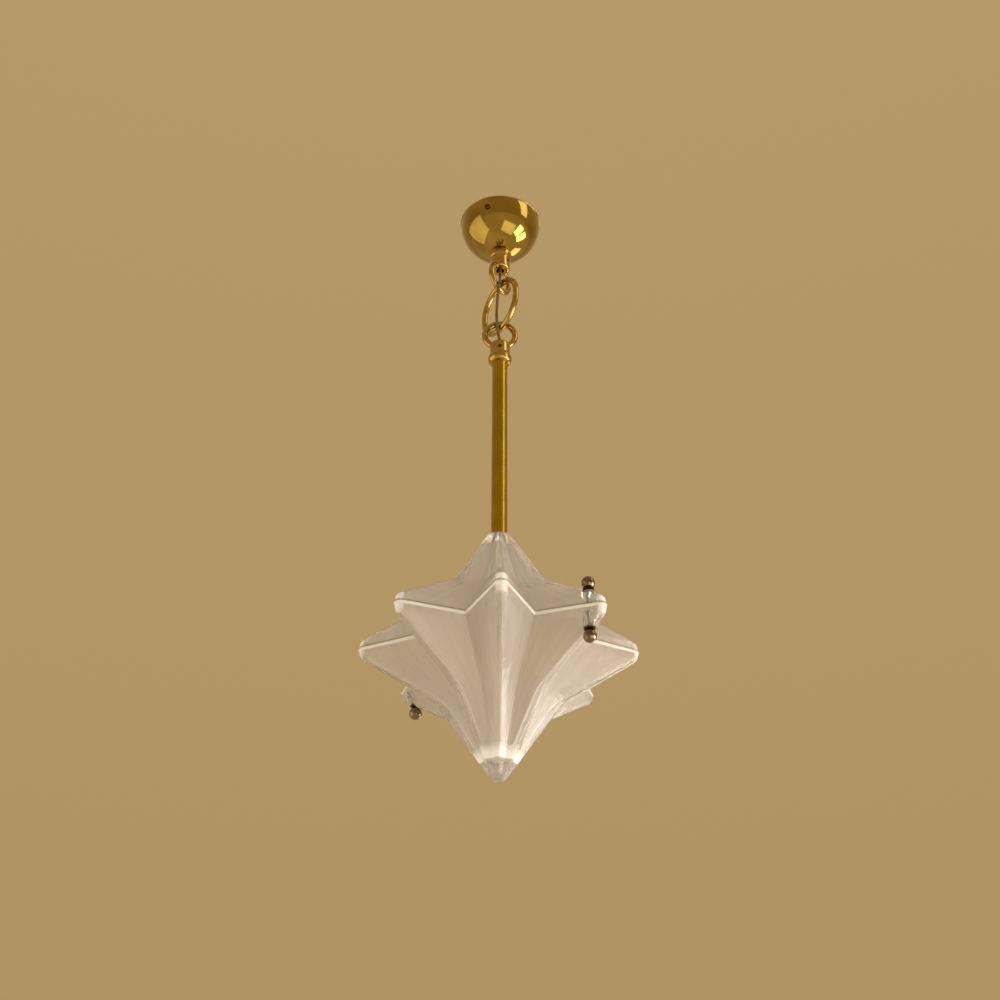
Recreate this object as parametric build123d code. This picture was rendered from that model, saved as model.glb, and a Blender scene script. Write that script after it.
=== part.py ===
from build123d import *
import math
import os

# Moulded-glass star pendant: a brass ceiling dome, one free link between two cast loops, a
# brass stem, and an eight-armed star in two glass halves held together by two ball screws.
# Millimetres. Origin: centre of the ceiling face. +Z is up, -Y is the front.

# ---------------------------------------------------------------- driving dimensions
# Running gaps and seats
part_gap = 0.3              # between bodies that move past each other
thread_gap = 0.05           # radial, threaded pieces
seat_gap = 0.02             # radial, pieces pushed home in a bore

# M10 hollow threaded tube used at three places
nipple_radius = 5.0
nipple_bore_radius = 3.4
nipple_thread_depth = 18.0  # how far a nipple runs into a loop

# Ceiling plate
plate_radius = 34.0
plate_thickness = 2.0
slot_spacing = 50.0
slot_width = 4.6
slot_length = 10.0
cable_hole_radius = 6.0
ear_width = 10.0
ear_thickness = 2.0
ear_tail = 4.0              # ear length below the screw
canopy_screw_angle = -20.6  # from the front, seen from below to the left
canopy_screw_drop = 13.0
screw_shank_radius = 2.0
screw_head_radius = 3.3
screw_head_height = 2.0
screw_slot_width = 0.9
screw_slot_depth = 0.8
screw_reach = 1.5           # shank end past its ear

# Terminal block
block_width = 26.0
block_depth = 14.0
block_height = 11.0
block_offset = 22.0
terminal_ways = 3
terminal_pitch = 8.0
terminal_screw_radius = 1.5
terminal_hole_radius = 1.8
terminal_screw_inset = 2.0
block_screw_radius = 1.4
block_screw_head_radius = 2.4
block_screw_head_height = 1.6
block_corner = 1.0
terminal_slot_width = 0.6
terminal_slot_depth = 0.6

# Canopy dome
canopy_radius = 44.4        # the dome; 90 mm over its lip
canopy_wall = 1.2
canopy_skirt = 2.1
canopy_lip_radius = 0.6
canopy_flat_radius = 11.5
canopy_washer_radius = 9.5
canopy_washer_thickness = 1.5
nut_across_flats = 14.0
nut_height = 4.0
nipple_stand = 3.0          # nipple end above its nut
bush_radius = 6.6
bush_height = 3.0
bush_wall = 0.9

# Cast loops: one casting, used twice
loop_foot_radius = 9.6
loop_bead_radius = 12.6
loop_bead_height = 5.5
loop_bead_end = 10.0
loop_body_radius = 10.75
loop_length = 26.3
loop_end_round = 3.2
wire_radius = 3.25
ring_radius = 16.2
ring_centre = 38.3          # below the foot
wireway_radius = 4.4
canopy_loop_angle = 54.0    # plane of the eye, turned from +X
set_screw_radius = 2.0
set_screw_sink = 0.5
canopy_set_screw_angle = 52.0
set_screw_height = 16.0     # from the foot
set_screw_slot_width = 0.7
set_screw_slot_depth = 0.8
nipple_end_gap = 0.5        # under a nipple, in its loop

# Free link
link_radius = 30.2
link_straight = 3.2
link_angle = -57.0

# Stem
stem_radius = 8.0
stem_wall = 1.0
stem_length = 216.8
bush_length = 14.0

# Glass star
star_tip_radius = 130.0
star_valley_radius = 81.4
arm_count = 8
tip_round = 6.0
shoulder_height = 8.5
shoulder_tip_radius = 127.6
shoulder_valley_radius = 74.8
waist_height = 53.0         # where the arms run into the upright arm
waist_tip_radius = 58.5
waist_valley_radius = 39.8
waist_round = 3.0
neck_height = 114.0
neck_tip_radius = 20.2
neck_valley_radius = 17.8
neck_round = 2.0
neck_top_height = 126.0
neck_top_tip_radius = 11.6
neck_top_valley_radius = 10.6
level_blend = 0.2           # how far the round end stands inside its last star
floor_height = 104.0
floor_tip_radius = 22.6
floor_valley_radius = 18.8
point_height = 126.2
point_tip_radius = 7.4
point_valley_radius = 6.8
point_round = 1.5
point_end_height = 3.8      # low dome at the very end
glass_wall = 5.6            # level, square to the arm faces
cavity_round = 1.4
roof_height = 108.0
neck_hole_gap = 0.5
tip_steps = 20              # rounds in which a sharp tip's place settles

# Ball screws that clamp the halves
clamp_radius = 111.0
clamp_angles = (45.0, 225.0)  # from the front, to the right
clamp_rod_radius = 2.0
clamp_hole_radius = 2.7
pad_radius = 5.8
pad_height = 17.6
ball_radius = 6.3
collar_radius = 5.2
collar_height = 3.6
ball_neck_radius = 2.6
seat_washer_thickness = 0.8
seat_washer_radius = 5.4
nut_seat_gap = 0.1
nut_neck_height = 3.4
nut_neck_top_radius = 3.3
nut_neck_low_radius = 4.9
rod_reach = 2.0             # rod end past the lower ball's centre

# Neck fittings and lampholder
neck_washer_thickness = 1.2
neck_plate_radius = 10.8
neck_plate_thickness = 2.0
holder_radius = 14.0
holder_wall = 1.2
holder_boss_radius = 7.6
holder_boss_height = 6.0
holder_cap_height = 15.0    # boss included
holder_lap = 4.0            # thread between cap and skirt
holder_skirt_length = 36.0
core_thickness = 7.0
shell_radius = 8.0
shell_wall = 0.5
shell_length = 22.0
contact_radius = 2.6
contact_height = 2.0

# Lamp
lamp_cap_radius = 7.0
lamp_cap_wall = 0.4
lamp_cap_length = 19.0
lamp_globe_radius = 22.5
lamp_length = 76.0          # contact to crown
lamp_glass_wall = 0.8
lamp_flare_radius = 12.0    # hollow curve from neck to globe
lamp_glass_lap = 14.0       # glass neck inside the cap
lamp_tip_radius = 2.6
lamp_tip_height = 1.6
lamp_insulator_height = 3.0
lamp_insulator_top_radius = 3.4
lamp_stem_radius = 2.4
lamp_stem_length = 26.0

# Flex
flex_radius = 1.6
flex_gap = 0.5
flex_arc_share = 0.45       # of the shorter run beside a bend
terminal_flex_entry = 3.0   # into the block

nipple_hole = nipple_radius + thread_gap

os.makedirs("parts", exist_ok=True)


# ---------------------------------------------------------------- shared forms
def save(shape, name):
    """Writes one node."""
    export_step(shape, f"parts/{name}.step")


def pipe(outer_radius, inner_radius, low, high):
    """An upright tube between two heights."""
    solid = Cylinder(outer_radius, high - low, align=(Align.CENTER, Align.CENTER, Align.MIN))
    if inner_radius > 0:
        solid -= Cylinder(inner_radius, high - low, align=(Align.CENTER, Align.CENTER, Align.MIN))
    return Pos(0, 0, low) * solid


def from_front(angle, radius, height=0.0):
    """A place at an angle from the front (-Y), positive to the right."""
    turn = math.radians(angle)
    return Pos(radius * math.sin(turn), -radius * math.cos(turn), height)


def radial(angle, radius, height):
    """As from_front, with local Z pointing away from the axis."""
    return Pos(0, 0, height) * Rot(0, 0, angle - 90) * Pos(radius, 0, 0) * Rot(0, 90, 0)


def hex_nut(bore, low):
    """A plain hexagon nut standing on its lower face."""
    body = extrude(RegularPolygon(nut_across_flats / 2, 6, major_radius=False), nut_height)
    body -= Cylinder(bore, nut_height, align=(Align.CENTER, Align.CENTER, Align.MIN))
    return Pos(0, 0, low) * body


def rounded_end(radius, height):
    """A low dome standing on z = 0."""
    ball = (radius**2 + height**2) / (2 * height)
    cap = Pos(0, 0, height - ball) * Sphere(ball)
    return cap & pipe(2 * radius, 0, 0, 2 * height)


# ---------------------------------------------------------------- heights, from the ceiling down
canopy_face = -(canopy_skirt + math.sqrt(canopy_radius**2 - canopy_flat_radius**2))
canopy_eye_z = canopy_face - ring_centre
ring_bottom = canopy_eye_z - ring_radius
wire_pitch = 2 * wire_radius + part_gap
link_top = ring_bottom + wire_pitch
link_bottom = link_top - 2 * link_radius - link_straight
stem_eye_z = link_bottom + wire_pitch - ring_radius
stem_foot_z = stem_eye_z - ring_centre
stem_end_z = stem_foot_z - stem_length
neck_top_z = stem_end_z - neck_washer_thickness
seam_z = neck_top_z - neck_top_height


# ---------------------------------------------------------------- ceiling plate and terminals
def ceiling_plate():
    """Pressed steel plate with two screw slots, a cable hole and two turned-down ears."""
    ear_face = ear_outer_face()
    plate = pipe(plate_radius, cable_hole_radius, -plate_thickness, 0)
    ear_length = canopy_screw_drop + ear_tail
    for turn in (0, 180):
        arm = Pos((ear_face - ear_thickness) / 2 + ear_thickness, 0, -plate_thickness / 2) * Box(
            ear_face - ear_thickness, ear_width, plate_thickness
        )
        arm -= pipe(cable_hole_radius, 0, -plate_thickness, 0)
        ear = Pos(ear_face - ear_thickness / 2, 0, -ear_length / 2) * Box(
            ear_thickness, ear_width, ear_length
        )
        hole = Pos(ear_face, 0, -canopy_screw_drop) * Rot(0, 90, 0)
        ear -= hole * Cylinder(screw_shank_radius + thread_gap, 4 * ear_thickness)
        plate += Rot(0, 0, canopy_screw_angle - 90 + turn) * (arm + ear)
    for side in (-1, 1):
        slot = extrude(SlotOverall(slot_length, slot_width), plate_thickness)
        plate -= Pos(side * slot_spacing / 2, 0, -plate_thickness) * slot
    screw_hole = Cylinder(block_screw_radius + thread_gap, 2 * plate_thickness)
    return plate - Pos(terminal_pitch / 2, block_offset, -plate_thickness) * screw_hole


def ear_outer_face():
    """How far out an ear stands, with its lower corners clear of the dome."""
    tail_drop = canopy_screw_drop + ear_tail - canopy_skirt
    room = math.sqrt((canopy_radius - canopy_wall) ** 2 - tail_drop**2) - part_gap
    return math.sqrt(room**2 - (ear_width / 2) ** 2)


def terminal_block():
    """Moulded block with screw wells below and wire holes through it."""
    block = Box(block_width, block_depth, block_height)
    block = fillet(block.edges().filter_by(Axis.Z), block_corner)
    well = Cylinder(terminal_hole_radius, 2 * block_height)
    wire_hole = Rot(90, 0, 0) * Cylinder(terminal_hole_radius, block_depth)
    for way in range(terminal_ways):
        x = (way - (terminal_ways - 1) / 2) * terminal_pitch
        block -= Pos(x, 0, 0) * wire_hole
        for side in (-1, 1):
            block -= Pos(x, side * block_depth / 4, -block_height) * well
    block -= Pos(terminal_pitch / 2, 0, 0) * Cylinder(block_screw_radius + thread_gap, block_height)
    return Pos(0, block_offset, -plate_thickness - block_height / 2) * block


def terminal_screws():
    """Six brass clamping screws, sunk in the block's wells as far as the flex."""
    low = -plate_thickness - block_height + terminal_screw_inset
    high = -plate_thickness - block_height / 2 - flex_radius
    screw = pipe(terminal_screw_radius, 0, 0, high - low)
    screw -= Box(2 * terminal_screw_radius, terminal_slot_width, 2 * terminal_slot_depth)
    screws = []
    for way in range(terminal_ways):
        x = (way - (terminal_ways - 1) / 2) * terminal_pitch
        for side in (-1, 1):
            screws.append(Pos(x, block_offset + side * block_depth / 4, low) * screw)
    return Compound(children=screws)


def block_screw():
    """Steel screw through the block into the plate."""
    low = -plate_thickness - block_height
    shank = pipe(block_screw_radius, 0, low, -plate_thickness / 2)
    head = pipe(block_screw_head_radius, 0, low - block_screw_head_height, low)
    return Pos(terminal_pitch / 2, block_offset, 0) * (shank + head)


save(ceiling_plate(), "ceiling_plate")
save(terminal_block(), "terminal_block")
save(terminal_screws(), "terminal_screws")
save(block_screw(), "terminal_block_screw")


# ---------------------------------------------------------------- canopy and its screws
def dome_shell():
    """Spun dome: short skirt, part sphere and a small flat for the loop."""
    inner_radius = canopy_radius - canopy_wall
    flat_inner = canopy_face + canopy_wall
    inner_flat_radius = math.sqrt(inner_radius**2 - (flat_inner + canopy_skirt) ** 2)
    middle = math.radians(45)
    hole = nipple_radius + part_gap
    outer_mid = (canopy_radius * math.cos(middle), -canopy_skirt - canopy_radius * math.sin(middle))
    inner_mid = (inner_radius * math.cos(middle), -canopy_skirt - inner_radius * math.sin(middle))
    outline = [
        Line((canopy_radius, 0), (canopy_radius, -canopy_skirt)),
        ThreePointArc((canopy_radius, -canopy_skirt), outer_mid, (canopy_flat_radius, canopy_face)),
        Line((canopy_flat_radius, canopy_face), (hole, canopy_face)),
        Line((hole, canopy_face), (hole, flat_inner)),
        Line((hole, flat_inner), (inner_flat_radius, flat_inner)),
        ThreePointArc((inner_flat_radius, flat_inner), inner_mid, (inner_radius, -canopy_skirt)),
        Line((inner_radius, -canopy_skirt), (inner_radius, 0)),
        Line((inner_radius, 0), (canopy_radius, 0)),
    ]
    shell = revolve(make_face(Plane.XZ * Wire(outline)), Axis.Z, 360)
    bead = Pos(0, 0, -canopy_lip_radius) * Torus(canopy_radius, canopy_lip_radius)
    shell += bead - pipe(canopy_radius - canopy_wall / 2, 0, -3 * canopy_lip_radius, canopy_lip_radius)
    for turn in (0, 180):
        place = radial(canopy_screw_angle + turn, canopy_radius, -canopy_screw_drop)
        shell -= place * Cylinder(screw_shank_radius + part_gap, 8 * canopy_wall)
    return shell


def canopy_screws():
    """Two round-head screws through the dome's side into the ears."""
    low_edge = canopy_screw_drop - canopy_skirt - screw_head_radius
    seat = math.sqrt(canopy_radius**2 - low_edge**2)
    shank_end = ear_outer_face() - ear_thickness - screw_reach
    length = seat - shank_end
    head = Pos(0, 0, length) * rounded_end(screw_head_radius, screw_head_height)
    slot = Box(2 * screw_head_radius, screw_slot_width, 2 * screw_slot_depth)
    screw = pipe(screw_shank_radius, 0, 0, length) + head
    screw -= Pos(0, 0, length + screw_head_height) * slot
    place = radial(canopy_screw_angle, shank_end, -canopy_screw_drop)
    return Compound(children=[place * screw, Rot(0, 0, 180) * place * screw])


canopy_inside = canopy_face + canopy_wall
washer_top = canopy_inside + canopy_washer_thickness
nut_top = washer_top + nut_height
canopy_nipple_top = nut_top + nipple_stand

save(dome_shell(), "canopy")
save(canopy_screws(), "canopy_screws")
save(pipe(canopy_washer_radius, nipple_hole, canopy_inside, washer_top), "canopy_washer")
save(hex_nut(nipple_hole, washer_top), "canopy_nut")
save(
    pipe(nipple_radius, nipple_bore_radius, canopy_face - nipple_thread_depth, canopy_nipple_top),
    "canopy_nipple",
)


def end_bush(top):
    """Plastic bush over a nipple's end, which guards the flex."""
    cap = pipe(bush_radius, nipple_hole, top - bush_height + bush_wall, top)
    return cap + pipe(bush_radius, nipple_bore_radius - bush_wall, top, top + bush_wall)


save(end_bush(canopy_nipple_top), "canopy_bush")


# ---------------------------------------------------------------- cast loops and the link
def cast_loop(eye_angle, screw_angle):
    """Loop with a beaded foot at z = 0, a bored body and a round eye below it."""
    shoulder = loop_length - loop_end_round
    corner = math.sqrt(0.5) * loop_end_round
    inner_corner = loop_body_radius - loop_end_round
    outline = [
        Line((0, 0), (loop_foot_radius, 0)),
        ThreePointArc((loop_foot_radius, 0), (loop_bead_radius, -loop_bead_height),
                      (loop_body_radius, -loop_bead_end)),
        Line((loop_body_radius, -loop_bead_end), (loop_body_radius, -shoulder)),
        ThreePointArc((loop_body_radius, -shoulder), (inner_corner + corner, -shoulder - corner),
                      (inner_corner, -loop_length)),
        Line((inner_corner, -loop_length), (0, -loop_length)),
        Line((0, -loop_length), (0, 0)),
    ]
    body = revolve(make_face(Plane.XZ * Wire(outline)), Axis.Z, 360)
    eye = Pos(0, 0, -ring_centre) * Rot(0, 0, eye_angle) * Rot(90, 0, 0) * Torus(ring_radius, wire_radius)
    loop = body + eye
    loop -= pipe(nipple_hole, 0, -nipple_thread_depth - nipple_end_gap, 0)
    loop -= pipe(wireway_radius, 0, -loop_length - wire_radius, -nipple_thread_depth)
    screw_way = radial(screw_angle, loop_body_radius, -set_screw_height)
    loop -= screw_way * Cylinder(set_screw_radius + thread_gap, 2 * (loop_body_radius - nipple_radius))
    return loop


def set_screw(angle):
    """Slotted grub screw that locks the nipple in a loop."""
    length = loop_body_radius - nipple_radius - set_screw_sink - 2 * thread_gap
    start = nipple_radius + 2 * thread_gap
    slot = Box(2 * set_screw_radius, set_screw_slot_width, 2 * set_screw_slot_depth)
    screw = pipe(set_screw_radius, 0, 0, length) - Pos(0, 0, length) * slot
    return radial(angle, start, -set_screw_height) * screw


def chain_link():
    """Round-wire oval link, made of two half turns and two short straights."""
    start = Plane.XY * Pos(link_radius, 0) * Circle(wire_radius)
    half_turn = revolve(start, Axis.Y, -180)
    upper = Pos(0, 0, link_straight / 2) * half_turn
    lower = Pos(0, 0, -link_straight / 2) * Rot(180, 0, 0) * half_turn
    link = upper + lower
    for side in (-1, 1):
        link += Pos(side * link_radius, 0, 0) * Cylinder(wire_radius, link_straight)
    return Pos(0, 0, (link_top + link_bottom) / 2) * Rot(0, 0, link_angle) * link


save(Pos(0, 0, canopy_face) * cast_loop(canopy_loop_angle, canopy_set_screw_angle), "canopy_loop")
save(Pos(0, 0, canopy_face) * set_screw(canopy_set_screw_angle), "canopy_loop_screw")
save(chain_link(), "chain_link")
upside_down = Pos(0, 0, stem_foot_z) * Rot(0, 180, 0)
save(upside_down * cast_loop(0, 0), "stem_loop")
save(upside_down * set_screw(0), "stem_loop_screw")


# ---------------------------------------------------------------- stem
stem_bore = stem_radius - stem_wall
stem_nipple_low = stem_foot_z - bush_length
stem_nipple_top = stem_foot_z + nipple_thread_depth
stem_bush_top = stem_end_z + bush_length

save(pipe(nipple_radius, nipple_bore_radius, stem_nipple_low, stem_nipple_top), "stem_top_nipple")
save(pipe(stem_bore - seat_gap, nipple_hole, stem_nipple_low, stem_foot_z), "stem_top_bush")
save(pipe(stem_radius, stem_bore, stem_end_z, stem_foot_z), "stem_tube")
save(pipe(stem_bore - seat_gap, nipple_hole, stem_end_z, stem_bush_top), "stem_bottom_bush")


# ---------------------------------------------------------------- glass star
def arm_half_angle(sharp_radius, valley_radius):
    """Half the angle of an arm's point, from its sharp tip and its valleys."""
    half_pitch = math.pi / arm_count
    rise = valley_radius * math.sin(half_pitch)
    return math.atan2(rise, sharp_radius - valley_radius * math.cos(half_pitch))


def sharp_tip(tip_radius, valley_radius, rounding):
    """Where the arm's two sides would meet without their rounding."""
    sharp = tip_radius
    for _ in range(tip_steps):
        half = arm_half_angle(sharp, valley_radius)
        sharp = tip_radius + rounding * (1 / math.sin(half) - 1)
    return sharp


def inset(tip_radius, valley_radius, rounding, wall, inner_rounding):
    """The same star moved in by a wall: its tip and valley radius."""
    sharp = sharp_tip(tip_radius, valley_radius, rounding)
    half = arm_half_angle(sharp, valley_radius)
    side_distance = sharp * math.sin(half)
    share = (side_distance - wall) / side_distance
    inner_tip = share * sharp - inner_rounding * (1 / math.sin(half) - 1)
    return inner_tip, share * valley_radius


def star_outline(height, tip_radius, valley_radius, rounding):
    """A level star with rounded tips, one tip at the front."""
    half_pitch = math.pi / arm_count
    sharp = sharp_tip(tip_radius, valley_radius, rounding)
    half = arm_half_angle(sharp, valley_radius)
    centre = tip_radius - rounding
    touch_x = centre + rounding * math.sin(half)
    touch_y = rounding * math.cos(half)
    edges = []
    for arm in range(arm_count):
        turn = Rot(0, 0, 360 / arm_count * arm - 90)
        valley_x = valley_radius * math.cos(half_pitch)
        valley_y = valley_radius * math.sin(half_pitch)
        edges.append(turn * Line((valley_x, -valley_y), (touch_x, -touch_y)))
        edges.append(turn * ThreePointArc((touch_x, -touch_y), (tip_radius, 0), (touch_x, touch_y)))
        edges.append(turn * Line((touch_x, touch_y), (valley_x, valley_y)))
    return Pos(0, 0, height) * Wire(edges)


def star_body(levels):
    """Straight-sided moulding through a row of level stars."""
    return Solid.make_loft([star_outline(*level) for level in levels], True)


def cavity_body(levels):
    """The hollow inside a moulding, one wall in from the same stars."""
    inner = []
    for height, tip_radius, valley_radius, rounding in levels:
        tip, valley = inset(tip_radius, valley_radius, rounding, glass_wall, cavity_round)
        inner.append((height, tip, valley, cavity_round))
    return star_body(inner)


def between(low, high, height):
    """The star at a height between two of a moulding's stars."""
    share = (height - low[0]) / (high[0] - low[0])
    return tuple(a + share * (b - a) for a, b in zip(low, high))


seam_level = (0.0, star_tip_radius, star_valley_radius, tip_round)
shoulder_level = (shoulder_height, shoulder_tip_radius, shoulder_valley_radius, tip_round)
waist_level = (waist_height, waist_tip_radius, waist_valley_radius, waist_round)
neck_level = (neck_height, neck_tip_radius, neck_valley_radius, neck_round)
neck_top_level = (neck_top_height, neck_top_tip_radius, neck_top_valley_radius, neck_round)
floor_level = (floor_height, floor_tip_radius, floor_valley_radius, neck_round)
point_level = (point_height, point_tip_radius, point_valley_radius, point_round)
roof_level = between(waist_level, neck_level, roof_height)


def clamp_pads(shell):
    """Adds the flat-topped pads for the ball screws, and their holes."""
    for angle in clamp_angles:
        place = from_front(angle, clamp_radius)
        shell += place * pipe(pad_radius, 0, 0, pad_height)
        shell -= place * pipe(pad_radius, 0, pad_height, 2 * pad_height)
        shell -= place * pipe(clamp_hole_radius, 0, 0, 2 * pad_height)
    return shell


def upper_star():
    """Upper glass: eight arms that gather into a neck bored for the lamp nipple."""
    shell = star_body([seam_level, shoulder_level, waist_level, neck_level, neck_top_level])
    shell -= cavity_body([seam_level, shoulder_level, waist_level, roof_level])
    shell = clamp_pads(shell)
    shell -= pipe(nipple_radius + neck_hole_gap, 0, roof_height, neck_top_height)
    return Pos(0, 0, seam_z) * shell


def lower_star():
    """Lower glass: eight arms that gather into a long solid-ended point."""
    shell = star_body([seam_level, shoulder_level, waist_level, floor_level, point_level])
    end = rounded_end(point_valley_radius - level_blend, point_end_height)
    shell += Pos(0, 0, point_height) * end
    shell -= cavity_body([seam_level, shoulder_level, waist_level, floor_level])
    shell = clamp_pads(shell)
    return Pos(0, 0, seam_z - part_gap) * Rot(0, 0, -90) * Rot(180, 0, 0) * shell


save(upper_star(), "upper_star")
save(lower_star(), "lower_star")


# ---------------------------------------------------------------- neck fittings
roof_z = seam_z + roof_height
plate_top_z = roof_z - neck_washer_thickness
neck_nut_top_z = plate_top_z - neck_plate_thickness
holder_top_z = neck_nut_top_z - nut_height
core_top_z = holder_top_z - holder_cap_height - holder_lap
core_low_z = core_top_z - core_thickness
contact_low_z = core_low_z - contact_height

save(pipe(stem_radius, nipple_hole, neck_top_z, stem_end_z), "neck_washer_top")
save(pipe(neck_plate_radius, nipple_hole, plate_top_z, roof_z), "neck_washer_bottom")
save(pipe(neck_plate_radius, nipple_hole, neck_nut_top_z, plate_top_z), "neck_plate")
save(hex_nut(nipple_hole, holder_top_z), "neck_nut")
holder_boss_low = holder_top_z - holder_boss_height
save(pipe(nipple_radius, nipple_bore_radius, holder_boss_low, stem_bush_top), "stem_bottom_nipple")


# ---------------------------------------------------------------- lampholder
def holder_cap():
    """Turned cap: threaded boss, domed shoulder and a short threaded lap for the skirt."""
    inner = holder_radius - holder_wall
    boss_low = -holder_boss_height
    lap_low = -holder_cap_height - holder_lap
    lap_radius = inner - part_gap
    shoulder_mid = math.radians(45)
    drop = holder_cap_height - holder_boss_height
    reach = holder_radius - holder_boss_radius
    outer_mid = (holder_boss_radius + reach * math.sin(shoulder_mid),
                 boss_low - drop * (1 - math.cos(shoulder_mid)))
    inner_mid = (outer_mid[0] - holder_wall, outer_mid[1] - holder_wall)
    outline = [
        Line((nipple_hole, 0), (holder_boss_radius, 0)),
        Line((holder_boss_radius, 0), (holder_boss_radius, boss_low)),
        ThreePointArc((holder_boss_radius, boss_low), outer_mid, (holder_radius, -holder_cap_height)),
        Line((holder_radius, -holder_cap_height), (lap_radius, -holder_cap_height)),
        Line((lap_radius, -holder_cap_height), (lap_radius, lap_low)),
        Line((lap_radius, lap_low), (lap_radius - holder_wall, lap_low)),
        Line((lap_radius - holder_wall, lap_low), (lap_radius - holder_wall, -holder_cap_height)),
        ThreePointArc((lap_radius - holder_wall, -holder_cap_height), inner_mid,
                      (nipple_hole, boss_low - holder_wall)),
        Line((nipple_hole, boss_low - holder_wall), (nipple_hole, 0)),
    ]
    return Pos(0, 0, holder_top_z) * revolve(make_face(Plane.XZ * Wire(outline)), Axis.Z, 360)


skirt_top_z = holder_top_z - holder_cap_height
skirt_inner = holder_radius - holder_wall
save(holder_cap(), "lampholder_cap")
save(pipe(holder_radius, skirt_inner, skirt_top_z - holder_skirt_length, skirt_top_z), "lampholder_skirt")
save(pipe(skirt_inner - part_gap, flex_radius + flex_gap, core_low_z, core_top_z), "lampholder_core")
save(pipe(shell_radius, shell_radius - shell_wall, core_low_z - shell_length, core_low_z), "lampholder_shell")
save(pipe(contact_radius, 0, contact_low_z, core_low_z), "lampholder_contact")


# ---------------------------------------------------------------- lamp
lamp_top_z = contact_low_z - part_gap
lamp_insulator_z = lamp_top_z - lamp_tip_height
lamp_cap_top_z = lamp_insulator_z - lamp_insulator_height
lamp_cap_low_z = lamp_cap_top_z - lamp_cap_length
lamp_low_z = lamp_top_z - lamp_length
globe_z = lamp_low_z + lamp_globe_radius


def lamp_form(inward):
    """The blown envelope: neck, flowing shoulder and globe, one wall further in each time."""
    neck = lamp_cap_radius - lamp_cap_wall - thread_gap - inward
    globe = lamp_globe_radius - inward
    top = lamp_cap_low_z + lamp_glass_lap - inward
    flare = lamp_flare_radius + inward
    flare_x = neck + flare
    flare_z = globe_z + math.sqrt((globe + flare) ** 2 - flare_x**2)
    join = math.atan2(flare_x, flare_z - globe_z)
    join_point = (globe * math.sin(join), globe_z + globe * math.cos(join))
    half_join = math.pi / 4 + join / 2
    flare_mid = (flare_x - flare * math.sin(half_join), flare_z - flare * math.cos(half_join))
    outline = [
        Line((0, top), (neck, top)),
        Line((neck, top), (neck, flare_z)),
        ThreePointArc((neck, flare_z), flare_mid, join_point),
        ThreePointArc(join_point, (globe, globe_z), (0, globe_z - globe)),
        Line((0, globe_z - globe), (0, top)),
    ]
    return revolve(make_face(Plane.XZ * Wire(outline)), Axis.Z, 360)


def lamp_insulator():
    """Black glass cone between the cap and its contact."""
    cone = Cone(lamp_cap_radius, lamp_insulator_top_radius, lamp_insulator_height,
                align=(Align.CENTER, Align.CENTER, Align.MIN))
    return Pos(0, 0, lamp_cap_top_z) * cone


glass_top_z = lamp_cap_low_z + lamp_glass_lap - lamp_glass_wall
save(lamp_form(0) - lamp_form(lamp_glass_wall), "lamp_glass")
save(pipe(lamp_cap_radius, lamp_cap_radius - lamp_cap_wall, lamp_cap_low_z, lamp_cap_top_z), "lamp_cap")
save(lamp_insulator(), "lamp_insulator")
save(pipe(lamp_tip_radius, 0, lamp_insulator_z, lamp_top_z), "lamp_contact")
save(pipe(lamp_stem_radius, 0, glass_top_z - lamp_stem_length, glass_top_z), "lamp_stem")


# ---------------------------------------------------------------- ball screws
pad_top_z = seam_z + pad_height
pad_low_z = seam_z - part_gap - pad_height
collar_low_z = pad_top_z + seat_washer_thickness
collar_seat = math.sqrt(ball_radius**2 - ball_neck_radius**2)
nut_top_z = pad_low_z - seat_washer_thickness - nut_seat_gap
nut_seat = math.sqrt(ball_radius**2 - nut_neck_low_radius**2)
nut_ball_z = nut_top_z - nut_neck_height - nut_seat
rod_low_z = nut_ball_z - rod_reach


def clamp_screw():
    """Turned ball on a collar, with a plain rod below."""
    ball_z = collar_low_z + collar_height + collar_seat
    collar = pipe(collar_radius, 0, collar_low_z, collar_low_z + collar_height)
    rod = pipe(clamp_rod_radius, 0, rod_low_z, collar_low_z)
    return Pos(0, 0, ball_z) * Sphere(ball_radius) + collar + rod


def ball_nut():
    """Ball with a tapered neck, tapped from above."""
    neck = Cone(nut_neck_low_radius, nut_neck_top_radius, nut_neck_height,
                align=(Align.CENTER, Align.CENTER, Align.MIN))
    nut = Pos(0, 0, nut_ball_z) * Sphere(ball_radius)
    nut += Pos(0, 0, nut_top_z - nut_neck_height) * neck
    nut += pipe(nut_neck_low_radius, 0, nut_ball_z, nut_top_z - nut_neck_height)
    nut -= pipe(clamp_rod_radius + thread_gap, 0, rod_low_z - part_gap, nut_top_z)
    return nut


def at_clamps(solid):
    """One copy of a piece at each ball screw."""
    return Compound(children=[from_front(angle, clamp_radius) * solid for angle in clamp_angles])


save(at_clamps(clamp_screw()), "clamp_screws")
washer_hole = clamp_rod_radius + part_gap
upper_washer = pipe(seat_washer_radius, washer_hole, pad_top_z, collar_low_z)
lower_washer = pipe(seat_washer_radius, washer_hole, pad_low_z - seat_washer_thickness, pad_low_z)
save(at_clamps(upper_washer), "upper_seat_washers")
save(at_clamps(lower_washer), "lower_seat_washers")
for angle, side in zip(clamp_angles, ("right", "left")):
    save(from_front(angle, clamp_radius) * ball_nut(), f"ball_nut_{side}")


# ---------------------------------------------------------------- flex
def corner_radii(points):
    """The largest arc that each corner of a route has room for."""
    radii = []
    for before, corner, after in zip(points, points[1:], points[2:]):
        arrive = Vector(*corner) - Vector(*before)
        leave = Vector(*after) - Vector(*corner)
        half_turn = math.radians(arrive.get_angle(leave)) / 2
        radii.append(flex_arc_share * min(arrive.length, leave.length) / math.tan(half_turn))
    return radii


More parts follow.
